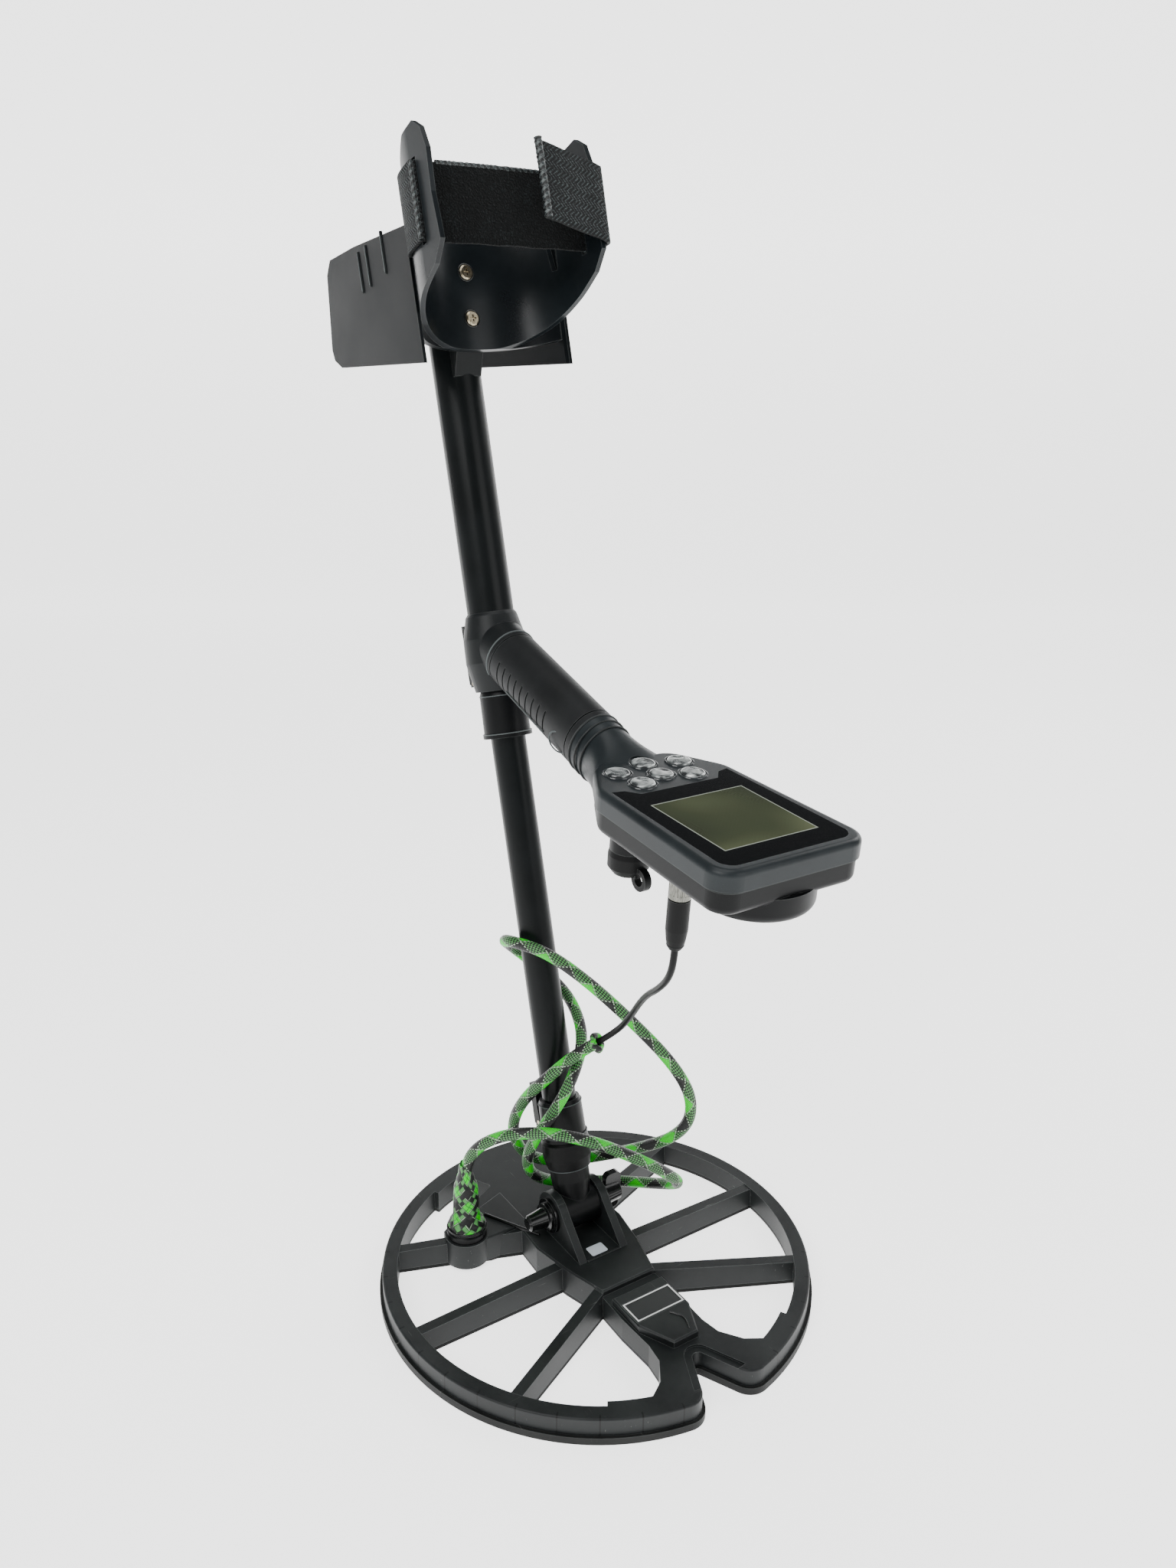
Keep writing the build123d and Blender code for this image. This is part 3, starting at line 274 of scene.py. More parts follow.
# %% Metals and glass
def metal(name, colour, dark, roughness, scale_mm):
    """A metal with fine machining marks."""
    material, tree, shader = start_material(name, Metallic=1.0, Roughness=roughness)
    stretched = add(tree, "ShaderNodeMapping", {0: object_place(tree), "Scale": (1, 1, 0.15)}).outputs[0]
    marks = noise(tree, stretched, scale_mm * MM, detail=3.0)
    tree.links.new(ramp(tree, marks, (0.3, dark), (0.7, colour)), shader.inputs["Base Color"])
    emboss(tree, shader, marks, 0.15, 0.0001)
    return material


def smooth_print(name, colour, other, roughness, coat):
    """A printed or glassy surface that is nearly, but not quite, even."""
    material, tree, shader = start_material(name, Roughness=roughness, Coat_Weight=coat, Coat_Roughness=0.04)
    cloud = noise(tree, object_place(tree), 0.03)
    tree.links.new(ramp(tree, cloud, (0.3, colour), (0.7, other)), shader.inputs["Base Color"])
    return material


stainless = metal("stainless_steel_screw", "#BFB49D", "#7C725D", 0.32, 0.8)
nickel = metal("nickel_plated_brass", "#86867F", "#4F4F4A", 0.34, 0.5)
copper_wire = metal("enamelled_copper", "#C27A4A", "#8F4F2A", 0.35, 0.6)
label_print = smooth_print("dark_label_plate", "#121415", "#1A1C1D", 0.55, 0.0)
white_print = smooth_print("white_print", "#D9DAD8", "#E4E5E3", 0.40, 0.0)
sticker_paper = smooth_print("white_sticker", "#B9C2CC", "#D5DADF", 0.35, 0.3)
# This dark, glossy ring finish is painted shade in the gap round each button.
button_gap_shade = smooth_print("silvery_button_ring", "#25282A", "#3A3E40", 0.16, 0.6)


def silver_button():
    """A clear dome over a crinkled silver print; its colour is partly the print's folds and partly painted
    highlights and painted dark streaks.
    """
    material, tree, shader = start_material("clear_button_over_silver_print", Roughness=0.22, Coat_Weight=1.0,
                                            Coat_Roughness=0.05, Metallic=0.35)
    print_folds_and_glints = noise(tree, object_place(tree), 0.0065, detail=1.0, Distortion=0.8)
    # The dark and pale stops paint shade and highlights onto the print's real folds.
    tone = ramp(tree, print_folds_and_glints, (0.34, "#303334"), (0.50, "#868B8A"), (0.66, "#D0D4D1"))
    tree.links.new(tone, shader.inputs["Base Color"])
    emboss(tree, shader, print_folds_and_glints, 0.5, 0.0008)
    return material


def box_coordinates(tree):
    """Object coordinates turned into the box's frame, in metres from the middle of the screen."""
    inverse = BOX.inverted()
    return add(tree, "ShaderNodeMapping", {
        0: object_place(tree), "Location": inverse.to_translation(), "Rotation": tuple(inverse.to_euler())
    }).outputs[0]


GLASS_HALF_SIDE = 29.0 * MM
BORDER_AT, BORDER_HALF_WIDTH = 0.0292, 0.00035
CELL_SIDE = 0.0052


def printed_window():
    """The screen's window: black print round an unlit liquid-crystal glass, which looks olive and is painted
    lighter towards the end away from the buttons, as painted light.
    """
    material, tree, shader = start_material("printed_window_over_liquid_crystal", Roughness=0.10, IOR=1.33,
                                            Specular_IOR_Level=0.4)
    at = box_coordinates(tree)
    spot = add(tree, "ShaderNodeSeparateXYZ", {0: at}).outputs
    across, along = maths(tree, "ABSOLUTE", spot[0]), maths(tree, "ABSOLUTE", spot[1])
    reach = maths(tree, "MAXIMUM", across, along)
    glass = maths(tree, "LESS_THAN", reach, GLASS_HALF_SIDE)
    from_border = maths(tree, "ABSOLUTE", minus(tree, reach, BORDER_AT))
    border = maths(tree, "LESS_THAN", from_border, BORDER_HALF_WIDTH)
    # The glass is painted lighter towards the end away from the buttons, which is painted light, with a
    # random cloud over it.
    painted_light_along_glass = maths(tree, "ADD", times(tree, spot[1], 7.0), noise(tree, at, 0.055, detail=0.0))
    olive = ramp(tree, painted_light_along_glass, (0.25, "#2A2E24"), (0.50, "#3A3F2D"), (0.75, "#565B43"))
    cells = add(tree, "ShaderNodeTexBrick", {"Vector": at, "Scale": 1 / CELL_SIDE, "Mortar Size": 0.03})
    olive = mix_colours(tree, times(tree, cells.outputs[1], 0.10), olive, linear("#23251A"))
    tone = mix_colours(tree, glass, linear("#070809"), olive)
    tone = mix_colours(tree, border, tone, linear("#8B9186"))
    tree.links.new(tone, shader.inputs["Base Color"])
    return material


button_clear = silver_button()
window_print = printed_window()
lcd = smooth_print("unlit_liquid_crystal", "#45482F", "#5B5E42", 0.30, 0.0)

# %% [markdown]
# ## Which part gets which finish
# The CAD parts keep their shapes, and only their material slots change.

# %% Assign the finishes
finishes = {
    coil_abs: ["coil_shell"],
    skid_abs: ["coil_cover"],
    copper_wire: ["transmit_winding", "receive_winding"],
    label_print: ["coil_badge"],
    black_rubber: ["cable_boot", "hinge_washers", "lower_bumper", "box_seal", "plug_boot", "aux_cap"],
    polished_nylon: ["hinge_bolt", "wing_nut"],
    black_nylon: ["cable_gland", "lower_yoke", "lower_lock", "lower_lock_lever", "upper_lock",
                  "upper_lock_lever", "tube_cap", "box_bottom", "speaker", "coil_socket", "aux_socket"],
    tube_black: ["lower_tube", "middle_tube", "upper_tube"],
    handle_nylon: ["handle_frame"],
    cuff_nylon: ["arm_cuff"],
    rest_nylon: ["arm_rest"],
    grip_rubber: ["grip_rubber"],
    box_abs: ["box_top"],
    window_print: ["screen_window"],
    lcd: ["screen"],
    board_resin: ["circuit_board"],
    silicone: ["keypad_mat"],
    cell_wrap: ["battery"],
    stainless: ["lower_lock_pin", "upper_lock_pin", "case_screws", "cuff_screws", "vibration_motor"],
    nickel: ["plug_nut"],
    cable_jacket: ["coil_cable"],
    button_clear: [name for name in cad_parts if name.startswith("button_")],
}
for finish, names in finishes.items():
    for name in names:
        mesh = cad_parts[name].data
        mesh.materials.clear()
        mesh.materials.append(finish)

# %% [markdown]
# ## The braided sleeve
# The cable runs inside an expandable sleeve, braided from flat polyester threads: a little under half
# of them are bright green and the rest are black, in both directions. Where green crosses green there
# is a solid green diamond, where black crosses black a black one, and between them the threads
# alternate in small flecks. This is easiest to draw from the weave itself: each thread follows a
# helix, and its number tells its colour.

# %% Braid material
GREEN_SHARE = 0.42
TRACERS = ((0.46, 0.022), (0.97, 0.016))   # where pale threads lie in a turn, and half their width


def braid_threads(tree, turns, along, way, threads, repeats):
    """The threads that wind one way: green or not, distance from the middle, number, pale or not."""
    helix = maths(tree, "ADD", maths(tree, way, turns, along), 100.0)
    numbered = times(tree, helix, float(threads))
    place_in_turn = maths(tree, "FRACT", times(tree, helix, float(repeats)))
    green = maths(tree, "LESS_THAN", place_in_turn, GREEN_SHARE)
    across = maths(tree, "ABSOLUTE", minus(tree, maths(tree, "FRACT", numbered), 0.5))
    pale = []
    for middle, half_width in TRACERS:
        offset = maths(tree, "ABSOLUTE", minus(tree, place_in_turn, middle))
        pale.append(maths(tree, "LESS_THAN", offset, half_width))
    return green, across, maths(tree, "FLOOR", numbered), maths(tree, "MAXIMUM", *pale)


def braid_material(name, pitch, threads, repeats=1, dyed="#04D20A", dark="#050606", fleck="#9DBB98"):
    """A two-colour braid. The piece's UV map gives metres along it and turns round it."""
    material, tree, shader = start_material(name, Roughness=0.42, Specular_IOR_Level=0.4)
    uv = add(tree, "ShaderNodeSeparateXYZ", {0: add(tree, "ShaderNodeUVMap", uv_map="braid").outputs[0]})
    along = maths(tree, "DIVIDE", uv.outputs[0], pitch)
    first, second = [
        braid_threads(tree, uv.outputs[1], along, way, threads, repeats) for way in ("ADD", "SUBTRACT")
    ]
    parity = maths(tree, "MODULO", maths(tree, "ADD", first[2], second[2]), 2.0)
    over = maths(tree, "GREATER_THAN", parity, 0.5)
    green, across, pale = [
        add(tree, "ShaderNodeMix", {0: over, 2: first[part], 3: second[part]}, data_type="FLOAT").outputs[0]
        for part in (0, 1, 3)
    ]
    solid = times(tree, first[0], second[0])
    share = times(tree, green, maths(tree, "ADD", times(tree, solid, 0.65), 0.35))
    colour = mix_colours(tree, share, linear(dark), linear(dyed))
    flecked = times(tree, minus(tree, green, solid, clamp=True), 0.22)
    colour = mix_colours(tree, flecked, colour, linear(fleck))
    colour = mix_colours(tree, pale, colour, linear(fleck))
    gap = times(tree, minus(tree, across, 0.27), 4.5, clamp=True)
    colour = mix_colours(tree, times(tree, gap, 0.9), colour, linear("#030803"))
    tree.links.new(colour, shader.inputs["Base Color"])
    emboss(tree, shader, minus(tree, 1.0, times(tree, across, across)), 0.7, 0.0006)
    return material


SLEEVE_R = 3.75 * MM
# The threads are drawn about 1 mm wide, which is wider than real ones, so that they show.
sleeve_braid = braid_material("green_and_black_braid", pitch=0.034, threads=18)
boot_braid = braid_material("stretched_green_and_black_braid", pitch=0.060, threads=12, repeats=3)
edge_braid = braid_material("braided_selvedge", pitch=0.008, threads=4, repeats=2, dyed="#2A2F31",
                            dark="#0B0D0E", fleck="#8E9796")

# %% [markdown]
# ## The cable's line
# The sleeve lies in loose loops round the shaft. Its line is one smooth NURBS curve through listed
# control points, and a tube is then swept along points read from that curve, so that it can carry a
# UV map for the braid.

# %% Cable route
SLEEVE_POINTS = [
    (64, -58, 59), (64, -58, 73), (59, -49, 91), (46, -33, 104), (26, -14, 108), (4, 1, 102),
    (-19, 10, 88), (-40, 14, 72), (-55, 14, 58), (-62, 4, 46), (-58, -16, 36), (-47, -38, 29),
    (-27, -53, 28), (-2, -60, 33), (16, -56, 49), (25, -46, 69), (26, -35, 91), (17, -25, 113),
    (3, -24, 134), (-14, -37, 151), (-22, -62, 164), (-16, -82, 177), (-3, -93, 190), (10, -93, 203),
    (20, -81, 213), (19, -65, 217), (6, -49, 213), (-11, -27, 197), (-31, -6, 172), (-48, 11, 148),
    (-58, 20, 126), (-59, 20, 106), (-53, 11, 90), (-43, -7, 76), (-31, -32, 60), (-15, -55, 48),
    (4, -66, 49), (20, -65, 65), (28, -60, 89), (26, -48, 114), (16, -31, 137), (1, -24, 151),
    (-7, -13, 162),
]
CABLE_POINTS = [
    (-7, -13, 162), (-15, -2, 173), (-13, 15, 192), (-5, 35, 213), (2, 52, 228), (9, 70, 241), (13, 84, 254),
    (14, 89.679, 265.659), (14, 90.488, 275.583),
]


def nurbs(name, points, bevel=0.0):
    """A NURBS curve with these control points, in millimetres."""
    data = bpy.data.curves.new(name, "CURVE")
    data.dimensions = "3D"
    data.resolution_u = 10
    data.bevel_depth = bevel
    data.bevel_resolution = 6
    spline = data.splines.new("NURBS")
    spline.points.add(len(points) - 1)
    for point, at in zip(spline.points, points):
        point.co = (at[0] * MM, at[1] * MM, at[2] * MM, 1.0)
    spline.order_u = 3
    spline.use_endpoint_u = True
    made = bpy.data.objects.new(name, data)
    bpy.context.scene.collection.objects.link(made)
    return made


def read_line(curve):
    """The points of a curve's own line."""
    bpy.context.view_layer.update()
    mesh = bpy.data.meshes.new_from_object(curve)
    line = [v.co.copy() for v in mesh.vertices]
    bpy.data.meshes.remove(mesh)
    return line


RING_GAP = 1.4 * MM


def swept_tube(name, line, radius_at, sides=20):
    """A tube along a line, with a UV map in metres along it and turns round it."""
    fine, travelled = [line[0]], [0.0]
    for start, end in zip(line, line[1:]):
        gap = (end - start).length
        count = max(1, round(gap / RING_GAP))
        for number in range(1, count + 1):
            fine.append(start.lerp(end, number / count))
            travelled.append(travelled[-1] + gap / count)
    mesh = bmesh.new()
    side = None
    rings = []
    for index, at in enumerate(fine):
        ahead = (fine[min(index + 1, len(fine) - 1)] - fine[max(index - 1, 0)]).normalized()
        if side is None:
            side = ahead.orthogonal().normalized()
        side = (side - ahead * side.dot(ahead)).normalized()
        other = ahead.cross(side)
        radius = radius_at(travelled[index])
        rings.append([mesh.verts.new(at + (side * cos(a) + other * sin(a)) * radius)
                      for a in (2 * pi * k / sides for k in range(sides))])
    layer = mesh.loops.layers.uv.new("braid")
    for index, (first, second) in enumerate(zip(rings, rings[1:])):
        for k in range(sides):
            j = (k + 1) % sides
            face = mesh.faces.new((first[k], first[j], second[j], second[k]))
            face.smooth = True
            spots = ((index, k), (index, k + 1), (index + 1, k + 1), (index + 1, k))
            for loop, (row, turn_number) in zip(face.loops, spots):
                loop[layer].uv = (travelled[row], turn_number / sides)
    mesh.faces.new(list(reversed(rings[0])))
    mesh.faces.new(rings[-1])
    data = bpy.data.meshes.new(name)
    mesh.to_mesh(data)
    mesh.free()
    made = bpy.data.objects.new(name, data)
    bpy.context.scene.collection.objects.link(made)
    return made, travelled[-1]


sleeve_curve = nurbs("sleeve_line", SLEEVE_POINTS)
sleeve_line = read_line(sleeve_curve)
bpy.data.objects.remove(sleeve_curve)
sleeve, sleeve_length = swept_tube("braided_sleeve", sleeve_line, lambda along: SLEEVE_R)
sleeve.data.materials.append(sleeve_braid)
print("sleeve length in metres:", round(sleeve_length, 3), "faces:", len(sleeve.data.polygons))
cable = nurbs("thin_cable", CABLE_POINTS, bevel=2.0 * MM)
cable.data.materials.append(cable_jacket)

# %% [markdown]
# ## The strain relief under the braid
# Where the cable enters the coil, the sleeve is pulled over a fat rubber boot, and its last threads
# flare out over the gland. It is the same kind of tube with a radius that changes along it.

# %% Braid over the boot
# Height above the gland and radius, in millimetres
BOOT_STOPS = [(0.0, 11.6), (2.0, 12.2), (4.5, 11.6), (7.0, 9.4), (10.0, 8.7), (22.0, 8.5), (31.0, 7.8),
              (36.0, 6.2), (42.0, 4.7), (48.0, 4.1)]


def boot_radius(along):
    """Radius of the braid over the boot, from the gland upwards."""
    for (low, first), (high, second) in zip(BOOT_STOPS, BOOT_STOPS[1:]):
        if along <= high * MM:
            share = (along / MM - low) / (high - low)
            share = share * share * (3 - 2 * share)
            return (first + (second - first) * share) * MM
    return BOOT_STOPS[-1][1] * MM


boot_line = [Vector((64, -58, z)) * MM for z in range(26, 72)] + [Vector((63.7, -57.4, 74.0)) * MM]
boot_cover, _ = swept_tube("braid_over_boot", boot_line, boot_radius, sides=40)
boot_cover.data.materials.append(boot_braid)

# %% [markdown]
# ## The rolled end of the sleeve
# The sleeve's free end is rolled back on itself, which makes a soft ring round the thin cable. A torus
# is a start: it is turned to face along the cable, squashed a little, and its UV map carries the braid.

# %% Rolled end
def finish_piece(made, finish):
    """Puts a piece's place into its mesh, and gives it its finish."""
    bpy.ops.object.select_all(action="DESELECT")
    made.select_set(True)
    bpy.context.view_layer.objects.active = made
    made.data.materials.clear()
    made.data.materials.append(finish)
    bpy.ops.object.transform_apply(location=True, rotation=True, scale=True)
    bpy.ops.object.shade_smooth_by_angle(angle=radians(40))
    made.select_set(False)


def aimed(direction):
    """The turn that takes +Z to a direction."""
    return Vector(direction).normalized().to_track_quat("Z", "Y").to_matrix().to_4x4()


cable_way = (Vector(CABLE_POINTS[1]) - Vector(CABLE_POINTS[0])).normalized()
end_at = Vector(CABLE_POINTS[0]) * MM
bpy.ops.mesh.primitive_torus_add(major_segments=36, minor_segments=16, major_radius=4.4 * MM,
                                 minor_radius=2.1 * MM)
rolled_end = bpy.context.object
rolled_end.name = "rolled_sleeve_end"
layer = rolled_end.data.uv_layers.active
layer.name = "braid"
for loop_uv in layer.data:
    loop_uv.uv = (loop_uv.uv[1] * 0.013, loop_uv.uv[0])
for vertex in rolled_end.data.vertices:
    angle = atan2(vertex.co.y, vertex.co.x)
    vertex.co *= 1 + 0.10 * sin(2 * angle + 0.6) + 0.04 * sin(5 * angle)
rolled_end.matrix_world = Matrix.Translation(end_at + cable_way * 0.8 * MM) @ aimed(cable_way)
finish_piece(rolled_end, boot_braid)

for piece in (sleeve, boot_cover, rolled_end, cable):
    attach(piece, "coil")
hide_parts("cable_sleeve")
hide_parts("coil_cable")

# %% [markdown]
# ## The arm strap
# The strap is one length of hook-and-loop webbing. It wraps the left wing, passes in through that
# wing's slot, crosses over the forearm, goes out through the right wing's slot and folds back over
# itself, a little askew. Each piece starts as a grid. Its columns are set along a line, given as
# points across the cuff (x) and ahead of the shaft (v), and Solidify then gives it its thickness.

# %% Webbing materials
def weave_coordinates(tree):
    """The webbing's own coordinates: metres along it and metres across it."""
    at = add(tree, "ShaderNodeUVMap", uv_map="weave").outputs[0]
    return add(tree, "ShaderNodeSeparateXYZ", {0: at}).outputs


def herringbone():
    """Flat webbing woven in a herringbone, with pale flecks on its ridges."""
    material, tree, shader = start_material("herringbone_webbing", Roughness=0.62, Specular_IOR_Level=0.2)
    along, across = weave_coordinates(tree)[:2]
    zigzag = maths(tree, "PINGPONG", across, 0.0032)
    slanted = maths(tree, "DIVIDE", maths(tree, "ADD", along, zigzag), 0.0024)
    stripe = times(tree, maths(tree, "PINGPONG", slanted, 0.5), 2.0)
    yarn = times(tree, maths(tree, "PINGPONG", maths(tree, "DIVIDE", across, 0.0009), 0.5), 2.0)
    height = times(tree, stripe, maths(tree, "ADD", times(tree, yarn, 0.6), 0.4))
    fleck = times(tree, height, noise(tree, object_place(tree), 0.0016))
    tone = ramp(tree, fleck, (0.08, "#050606"), (0.26, "#161A1B"), (0.48, "#4C5555"))
    tree.links.new(tone, shader.inputs["Base Color"])
    emboss(tree, shader, height, 0.9, 0.0007)
    return material


def loop_pile():
    """The soft loop side of the webbing."""
    material, tree, shader = start_material("loop_pile_webbing", Roughness=0.85, Specular_IOR_Level=0.08,
                                            Sheen_Weight=0.05, Sheen_Roughness=0.5)
    at = object_place(tree)
    tufts = noise(tree, at, 0.0011, detail=4.0)
    mixed = maths(tree, "ADD", times(tree, tufts, 0.7), times(tree, noise(tree, at, 0.014), 0.3))
    tone = ramp(tree, mixed, (0.40, "#030404"), (0.54, "#070909"), (0.70, "#1A1F20"))
    tree.links.new(tone, shader.inputs["Base Color"])
    emboss(tree, shader, tufts, 1.0, 0.0012)
    return material


pile = loop_pile()
webbing = herringbone()

# %% Strap pieces
STRAP_LOW, STRAP_HIGH = 591.0, 633.0


def settle(made, finish, body):
    """Finishes a piece and ties it to a body and a material slot."""
    finish_piece(made, finish)
    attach(made, body)
    return made


def smooth_line(points):
    """Points of a smooth line near these, in the same millimetres."""
    curve = nurbs("guide", points)
    line = [at / MM for at in read_line(curve)]
    bpy.data.objects.remove(curve)
    return line


STRIP_ROWS = 10


def webbing_strip(name, points, finish, rise=(0.0, 0.0)):
    """A strip along (x, v) points. rise lifts its first and last ends up the shaft."""
    line = smooth_line([(x, v, 0.0) for x, v in points])
    travelled = [0.0]
    for start, end in zip(line, line[1:]):
        travelled.append(travelled[-1] + (end - start).length)
    count = len(line)
    bpy.ops.object.select_all(action="DESELECT")
    bpy.ops.mesh.primitive_grid_add(x_subdivisions=count - 1, y_subdivisions=STRIP_ROWS, size=1.0)
    strip = bpy.context.object
    strip.name = name
    layer = strip.data.uv_layers.active
    layer.name = "weave"
    columns = [round((vertex.co.x + 0.5) * (count - 1)) for vertex in strip.data.vertices]
    shares = [vertex.co.y + 0.5 for vertex in strip.data.vertices]
    for loop in strip.data.loops:
        index = loop.vertex_index
        across = shares[index] * (STRAP_HIGH - STRAP_LOW)
        layer.data[loop.index].uv = (travelled[columns[index]] * MM, across * MM)
    for vertex, column, share in zip(strip.data.vertices, columns, shares):
        spot = line[column]
        done = max(0.0, travelled[column] / travelled[-1] - 0.4) / 0.6
        lift = rise[0] + (rise[1] - rise[0]) * done + 0.2 * sin(travelled[column] / 4.1)
        height = STRAP_LOW + share * (STRAP_HIGH - STRAP_LOW) + lift
        vertex.co = place(SHAFT, spot.x, spot.y, height)
    for kind, settings in (("SOLIDIFY", {"thickness": 2.0 * MM, "offset": 0.0}),
                           ("BEVEL", {"width": 0.45 * MM, "segments": 2, "limit_method": "ANGLE"})):
        step = strip.modifiers.new(kind.lower(), kind)
        for key, value in settings.items():
            setattr(step, key, value)
        bpy.ops.object.modifier_apply(modifier=step.name)
    return settle(strip, finish, "upper")


def selvedge(name, spots, radius):
    """A braided cord along an edge of the webbing, through (x, v, w) spots."""
    line = [place(SHAFT, *spot) for spot in smooth_line(spots)]
    cord, _ = swept_tube(name, line, lambda along: radius * MM * (1 + 0.12 * sin(along / MM * 2.4)), sides=12)
    return settle(cord, edge_braid, "upper")


CUFF_MIDDLE = 78.0
INSIDE, OUTSIDE = 48.6, 54.4


def beside_wing(radius, v):
    """Half the width of a ring about the forearm at a distance ahead of the shaft."""
    return sqrt(radius ** 2 - max(CUFF_MIDDLE - v, 0.0) ** 2)


loop_path = [(beside_wing(INSIDE, v), v) for v in (80, 74, 68, 62, 58)]
loop_path += [(44.2, 56.7), (49.6, 56.7)]
loop_path += [(beside_wing(OUTSIDE, v), v) for v in (58, 62, 68, 74, 79)]
loop_path += [(54.4, 82.0), (50.0, 82.0)]
band_path = [(53.0, 82.0), (40.0, 82.0), (12.0, 82.6), (-16.0, 82.2), (-44.0, 82.0), (-53.0, 82.0)]
flap_path = [(-50.0, 82.0), (-54.6, 82.0), (-55.2, 86.0), (-55.4, 94.0), (-55.0, 101.6), (-51.0, 103.0),
             (-42.0, 102.6), (-28.0, 103.0), (-14.0, 102.0)]
webbing_strip("strap_round_left_wing", loop_path, webbing)
strap_band = webbing_strip("strap_across_forearm", band_path, pile)
webbing_strip("strap_flap", flap_path, webbing, rise=(-1.5, 9.5))
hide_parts("arm_strap")
selvedge("strap_top_edge", [(x, v, STRAP_HIGH) for x, v in band_path[1:-1]], 1.5)
selvedge("flap_free_edge", [(-14.6, 103.4, STRAP_LOW + 9.5), (-14.4, 103.6, 621.0),
                            (-14.0, 103.4, STRAP_HIGH + 9.8)], 2.2)
selvedge("loop_edge", [(54.6, 81.5, STRAP_LOW + 1), (55.2, 82.2, 612.0), (54.6, 81.5, STRAP_HIGH)], 1.4)

# %% [markdown]
# ## Rings, lines and labels
# A few small things finish it: raised rings at the collars, on the neck and round each button, lines
# pressed into the grip, ribs on the plug's boot, a white border on the coil's blank label, and a
# small blank sticker between the fork ears. The pale rings and lines at the collars, on the grip and
# on the rest's ribs are painted highlights along edges; the dark rings round the buttons and the
# cuff's screws, and the dark line on the coil's pad, are painted shade in gaps, recesses and a groove.
# A ring starts as a torus that is resized in edit mode.

# %% Small raised details
def ring(name, where, radius, thickness, finish, body, oval=(1.0, 1.0), flat=1.0):
    """A thin raised ring about the Z axis of a place."""
    bpy.ops.object.select_all(action="DESELECT")
    bpy.ops.mesh.primitive_torus_add(major_segments=64, minor_segments=8, major_radius=radius * MM,
                                     minor_radius=thickness * MM)
    made = bpy.context.object
    made.name = name
    bpy.ops.object.mode_set(mode="EDIT")
    bpy.ops.mesh.select_all(action="SELECT")
    bpy.ops.transform.resize(value=(oval[0], oval[1], flat))
    bpy.ops.object.mode_set(mode="OBJECT")
    made.matrix_world = where
    return settle(made, finish, body)


def at_mm(frame_matrix, x, y, z):
    """A frame moved by millimetres along its own axes."""
    return frame_matrix @ Matrix.Translation((x * MM, y * MM, z * MM))


def line_piece(name, frame_matrix, spots, thickness, finish, body):
    """A thin raised line through spots in a frame, rounded at its corners."""
    curve = nurbs(name, [place(frame_matrix, *spot) / MM for spot in spots], bevel=thickness * MM)
    curve.data.use_fill_caps = True
    curve.data.materials.append(finish)
    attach(curve, body)
    return curve


# The pale collar rings, grip foot ring, thumb pad ring and grip side line are painted highlights along edges.
for height, radius, body in ((28.6, 14.2, "lower_rod"), (51.2, 15.2, "middle_rod"),
                             (72.2, 14.3, "middle_rod"), (317.7, 15.6, "upper"), (341.8, 14.6, "upper")):
    ring(f"collar_line_{height:.0f}", at_mm(SHAFT, 0, 0, height), radius, 0.35, highlight_line_finish, body)
for along, growth in ((121.0, 1.005), (126.5, 1.0), (132.5, 0.99)):
    ring(f"neck_ring_{along:.0f}", at_mm(GRIP, 0, 0, along), 17.0, 0.6, handle_nylon, "upper",
         oval=(growth, growth * 19.0 / 17.0))
ring("grip_foot_ring", at_mm(GRIP, 0, 0, 21.5), 17.0, 0.5, highlight_line_finish, "upper",
     oval=(1.0, 18.3 / 17.0))
ring("thumb_pad_line", at_mm(GRIP, 15.9, 4.5, 108.0) @ Matrix.Rotation(radians(76), 4, "Y"), 6.0, 0.45,
     highlight_line_finish, "upper", oval=(1.25, 1.0))
line_piece("grip_side_line", GRIP, [(15.6, 8.2, 46), (15.8, 8.2, 60), (15.9, 8.2, 76), (16.0, 8.2, 92)], 0.35,
           highlight_line_finish, "upper")

button_places = {
    "rear_left": (-20.5, -71.5), "rear_centre": (0, -77), "rear_right": (20.5, -71.5),
    "centre": (0, -60.3), "front_left": (-16.5, -54.2), "front_right": (16.5, -54.2),
}
# A dark ring in the gap round each button is painted shade.
for name, (x, y) in button_places.items():
    ring(f"button_ring_{name}", at_mm(BOX, x, y, 0.1), 7.75, 0.6, button_gap_shade, "upper",
         flat=0.8)

# These pale lines on the rest's ribs are painted highlights.
for v in (-14.0, -2.0, 22.0):
    x = 48.0 + v * 0.028 + 0.95
    line_piece(f"rest_rib_line_{v:.0f}".replace("-", "m"), SHAFT,
               [(x, v, 594.0), (x, v, 605.0), (x, v, 616.0)], 0.3, highlight_line_finish, "upper")
for number, depth in enumerate((-78.5, -75.5, -72.5, -69.5)):
    ring(f"plug_boot_rib_{number + 1}", at_mm(BOX, 14, -19, depth), 4.2 + 0.35 * number, 0.7, black_rubber,
         "upper")
ring("gland_bead", Matrix.Translation((64 * MM, -58 * MM, 26.4 * MM)), 11.9, 1.3, polished_nylon, "coil")
# Dark rings round the cuff's screws stand for the shade in their countersinks: painted shade.
for height in (567.0, 593.8):
    ring(f"screw_shade_ring_{height:.0f}", at_mm(SHAFT, 0, 28.5, height) @ Matrix.Rotation(radians(90), 4, "X"),
         5.0, 0.4, polished_nylon, "upper")


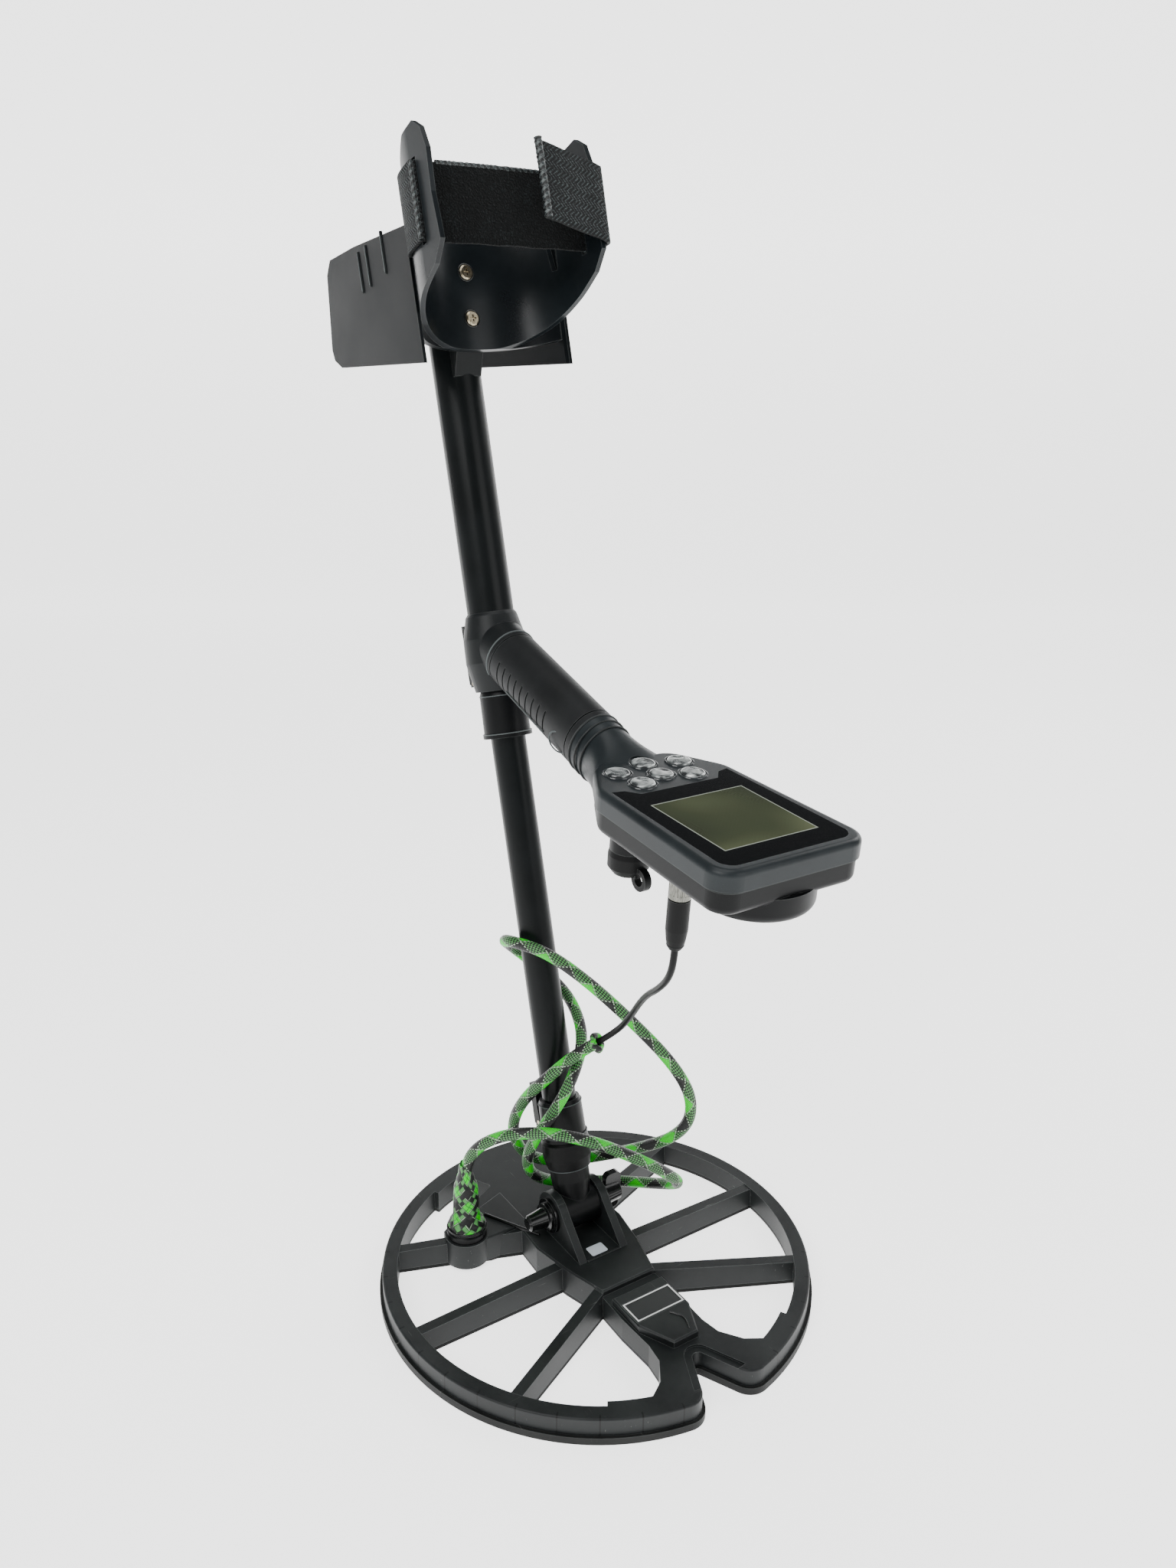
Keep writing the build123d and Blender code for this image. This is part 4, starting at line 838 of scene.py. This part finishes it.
def flat_plate(name, x, y, z, width, depth, finish, border=0.0):
    """A thin plate with small rounded corners; with a border, only its frame is kept."""
    bpy.ops.object.select_all(action="DESELECT")
    bpy.ops.mesh.primitive_plane_add(size=1.0, location=(x * MM, y * MM, z * MM))
    made = bpy.context.object
    made.name = name
    made.scale = (width * MM, depth * MM, 1.0)
    bpy.ops.object.transform_apply(location=False, rotation=False, scale=True)
    bpy.ops.object.mode_set(mode="EDIT")
    bpy.ops.mesh.select_all(action="SELECT")
    if border:
        bpy.ops.mesh.inset(thickness=border * MM)
        bpy.ops.mesh.delete(type="FACE")
    else:
        bpy.ops.mesh.bevel(offset=1.2 * MM, segments=4, affect="VERTICES")
    bpy.ops.object.mode_set(mode="OBJECT")
    step = made.modifiers.new("thickness", "SOLIDIFY")
    step.thickness = 0.2 * MM
    step.offset = 1.0
    bpy.ops.object.modifier_apply(modifier=step.name)
    return settle(made, finish, "coil")


flat_plate("label_border", 0, 63, 21.02, 34.6, 16.6, white_print, border=0.9)
flat_plate("blank_sticker", 1.0, 2.5, 20.05, 12.0, 9.0, sticker_paper)
COIL = Matrix.Identity(4)
line_piece("hub_rib", COIL, [(-12.6, 9.5, 20.2), (12.6, 9.5, 20.2)], 0.9, coil_abs, "coil")
# The dark line on the coil's pad stands for the shade in a groove: painted shade.
line_piece("pad_groove_shade_line", COIL, [(-3.5, 75, 21.0), (-7.5, 80, 21.05), (-8.0, 86, 21.0), (-5.0, 92, 20.9)],
           0.55, polished_nylon, "coil")
line_piece("heel_rib", COIL, [(25, -30, 20.3), (35, -48, 20.5), (45, -68, 20.3)], 1.1, polished_nylon,
           "coil")

# %% [markdown]
# ## Light and floor
# Black plastic only shows its shape in its highlights, so it wants broad, soft lights: one large one
# at the left of the camera, a second at the right, one overhead, and a strip behind for the edges.

# %% Studio
def soft_light(name, at, towards, size, power):
    """A square white area light."""
    data = bpy.data.lights.new(name, "AREA")
    data.shape = "SQUARE"
    data.size = size
    data.energy = power
    made = bpy.data.objects.new(name, data)
    made.location = at
    made.rotation_euler = (Vector(towards) - Vector(at)).to_track_quat("-Z", "Y").to_euler()
    bpy.context.scene.collection.objects.link(made)


soft_light("key", (1.3, 0.5, 1.5), (0, 0, 0.35), 1.1, 24)
soft_light("fill", (-0.6, 1.6, 1.0), (0, 0, 0.3), 1.0, 9)
soft_light("top", (0.1, 0.1, 2.0), (0, 0, 0.2), 1.2, 16)
soft_light("rim", (-1.7, -0.1, 1.5), (0, 0, 0.4), 0.9, 16)

bpy.ops.object.select_all(action="DESELECT")
bpy.ops.mesh.primitive_plane_add(size=10)
floor = bpy.context.object
floor.name = "floor"
bpy.ops.object.mode_set(mode="EDIT")


def select_back_edge():
    """Selects the floor's back edge, where it lies on the ground."""
    bpy.ops.mesh.select_mode(type="VERT")
    bpy.ops.mesh.select_all(action="DESELECT")
    grid = bmesh.from_edit_mesh(floor.data)
    for vertex in grid.verts:
        vertex.select_set(vertex.co.y < -4.9 and vertex.co.z < 0.1)
    grid.select_flush(True)
    bmesh.update_edit_mesh(floor.data)


select_back_edge()
bpy.ops.mesh.extrude_region_move(TRANSFORM_OT_translate={"value": (0, 0, 1.6)})
select_back_edge()
bpy.ops.mesh.bevel(offset=0.9, segments=24)
bpy.ops.object.mode_set(mode="OBJECT")
floor.matrix_world = Matrix.Rotation(CAMERA_YAW + pi / 2, 4, "Z") @ Matrix.Translation((0, 1.8, 0))
floor_paper, paper_tree, paper_shader = start_material(
    "pale_paper", Base_Color=linear("#F3F3F2"), Roughness=0.95, Specular_IOR_Level=0.1,
    Emission_Color=linear("#FFFFFF"), Emission_Strength=1.9,
)
fibres = noise(paper_tree, object_place(paper_tree), 0.0025)
paper_tone = ramp(paper_tree, fibres, (0.3, "#F1F1F0"), (0.7, "#F5F5F4"))
paper_tree.links.new(paper_tone, paper_shader.inputs["Base Color"])
finish_piece(floor, floor_paper)

world = bpy.data.worlds.new("pale_room")
bpy.context.scene.world = world
world.use_nodes = True
sky_tree = world.node_tree
gaze = add(sky_tree, "ShaderNodeTexCoord").outputs["Generated"]
upward = add(sky_tree, "ShaderNodeSeparateXYZ", {0: gaze}).outputs[2]
share = maths(sky_tree, "ADD", times(sky_tree, upward, 0.5), 0.5)
sky = ramp(sky_tree, share, (0.645, "#F4F5F5"), (0.685, "#707375"), (1.0, "#9A9D9F"))
sky_tree.links.new(sky, sky_tree.nodes["Background"].inputs[0])
sky_tree.nodes["Background"].inputs[1].default_value = 0.6
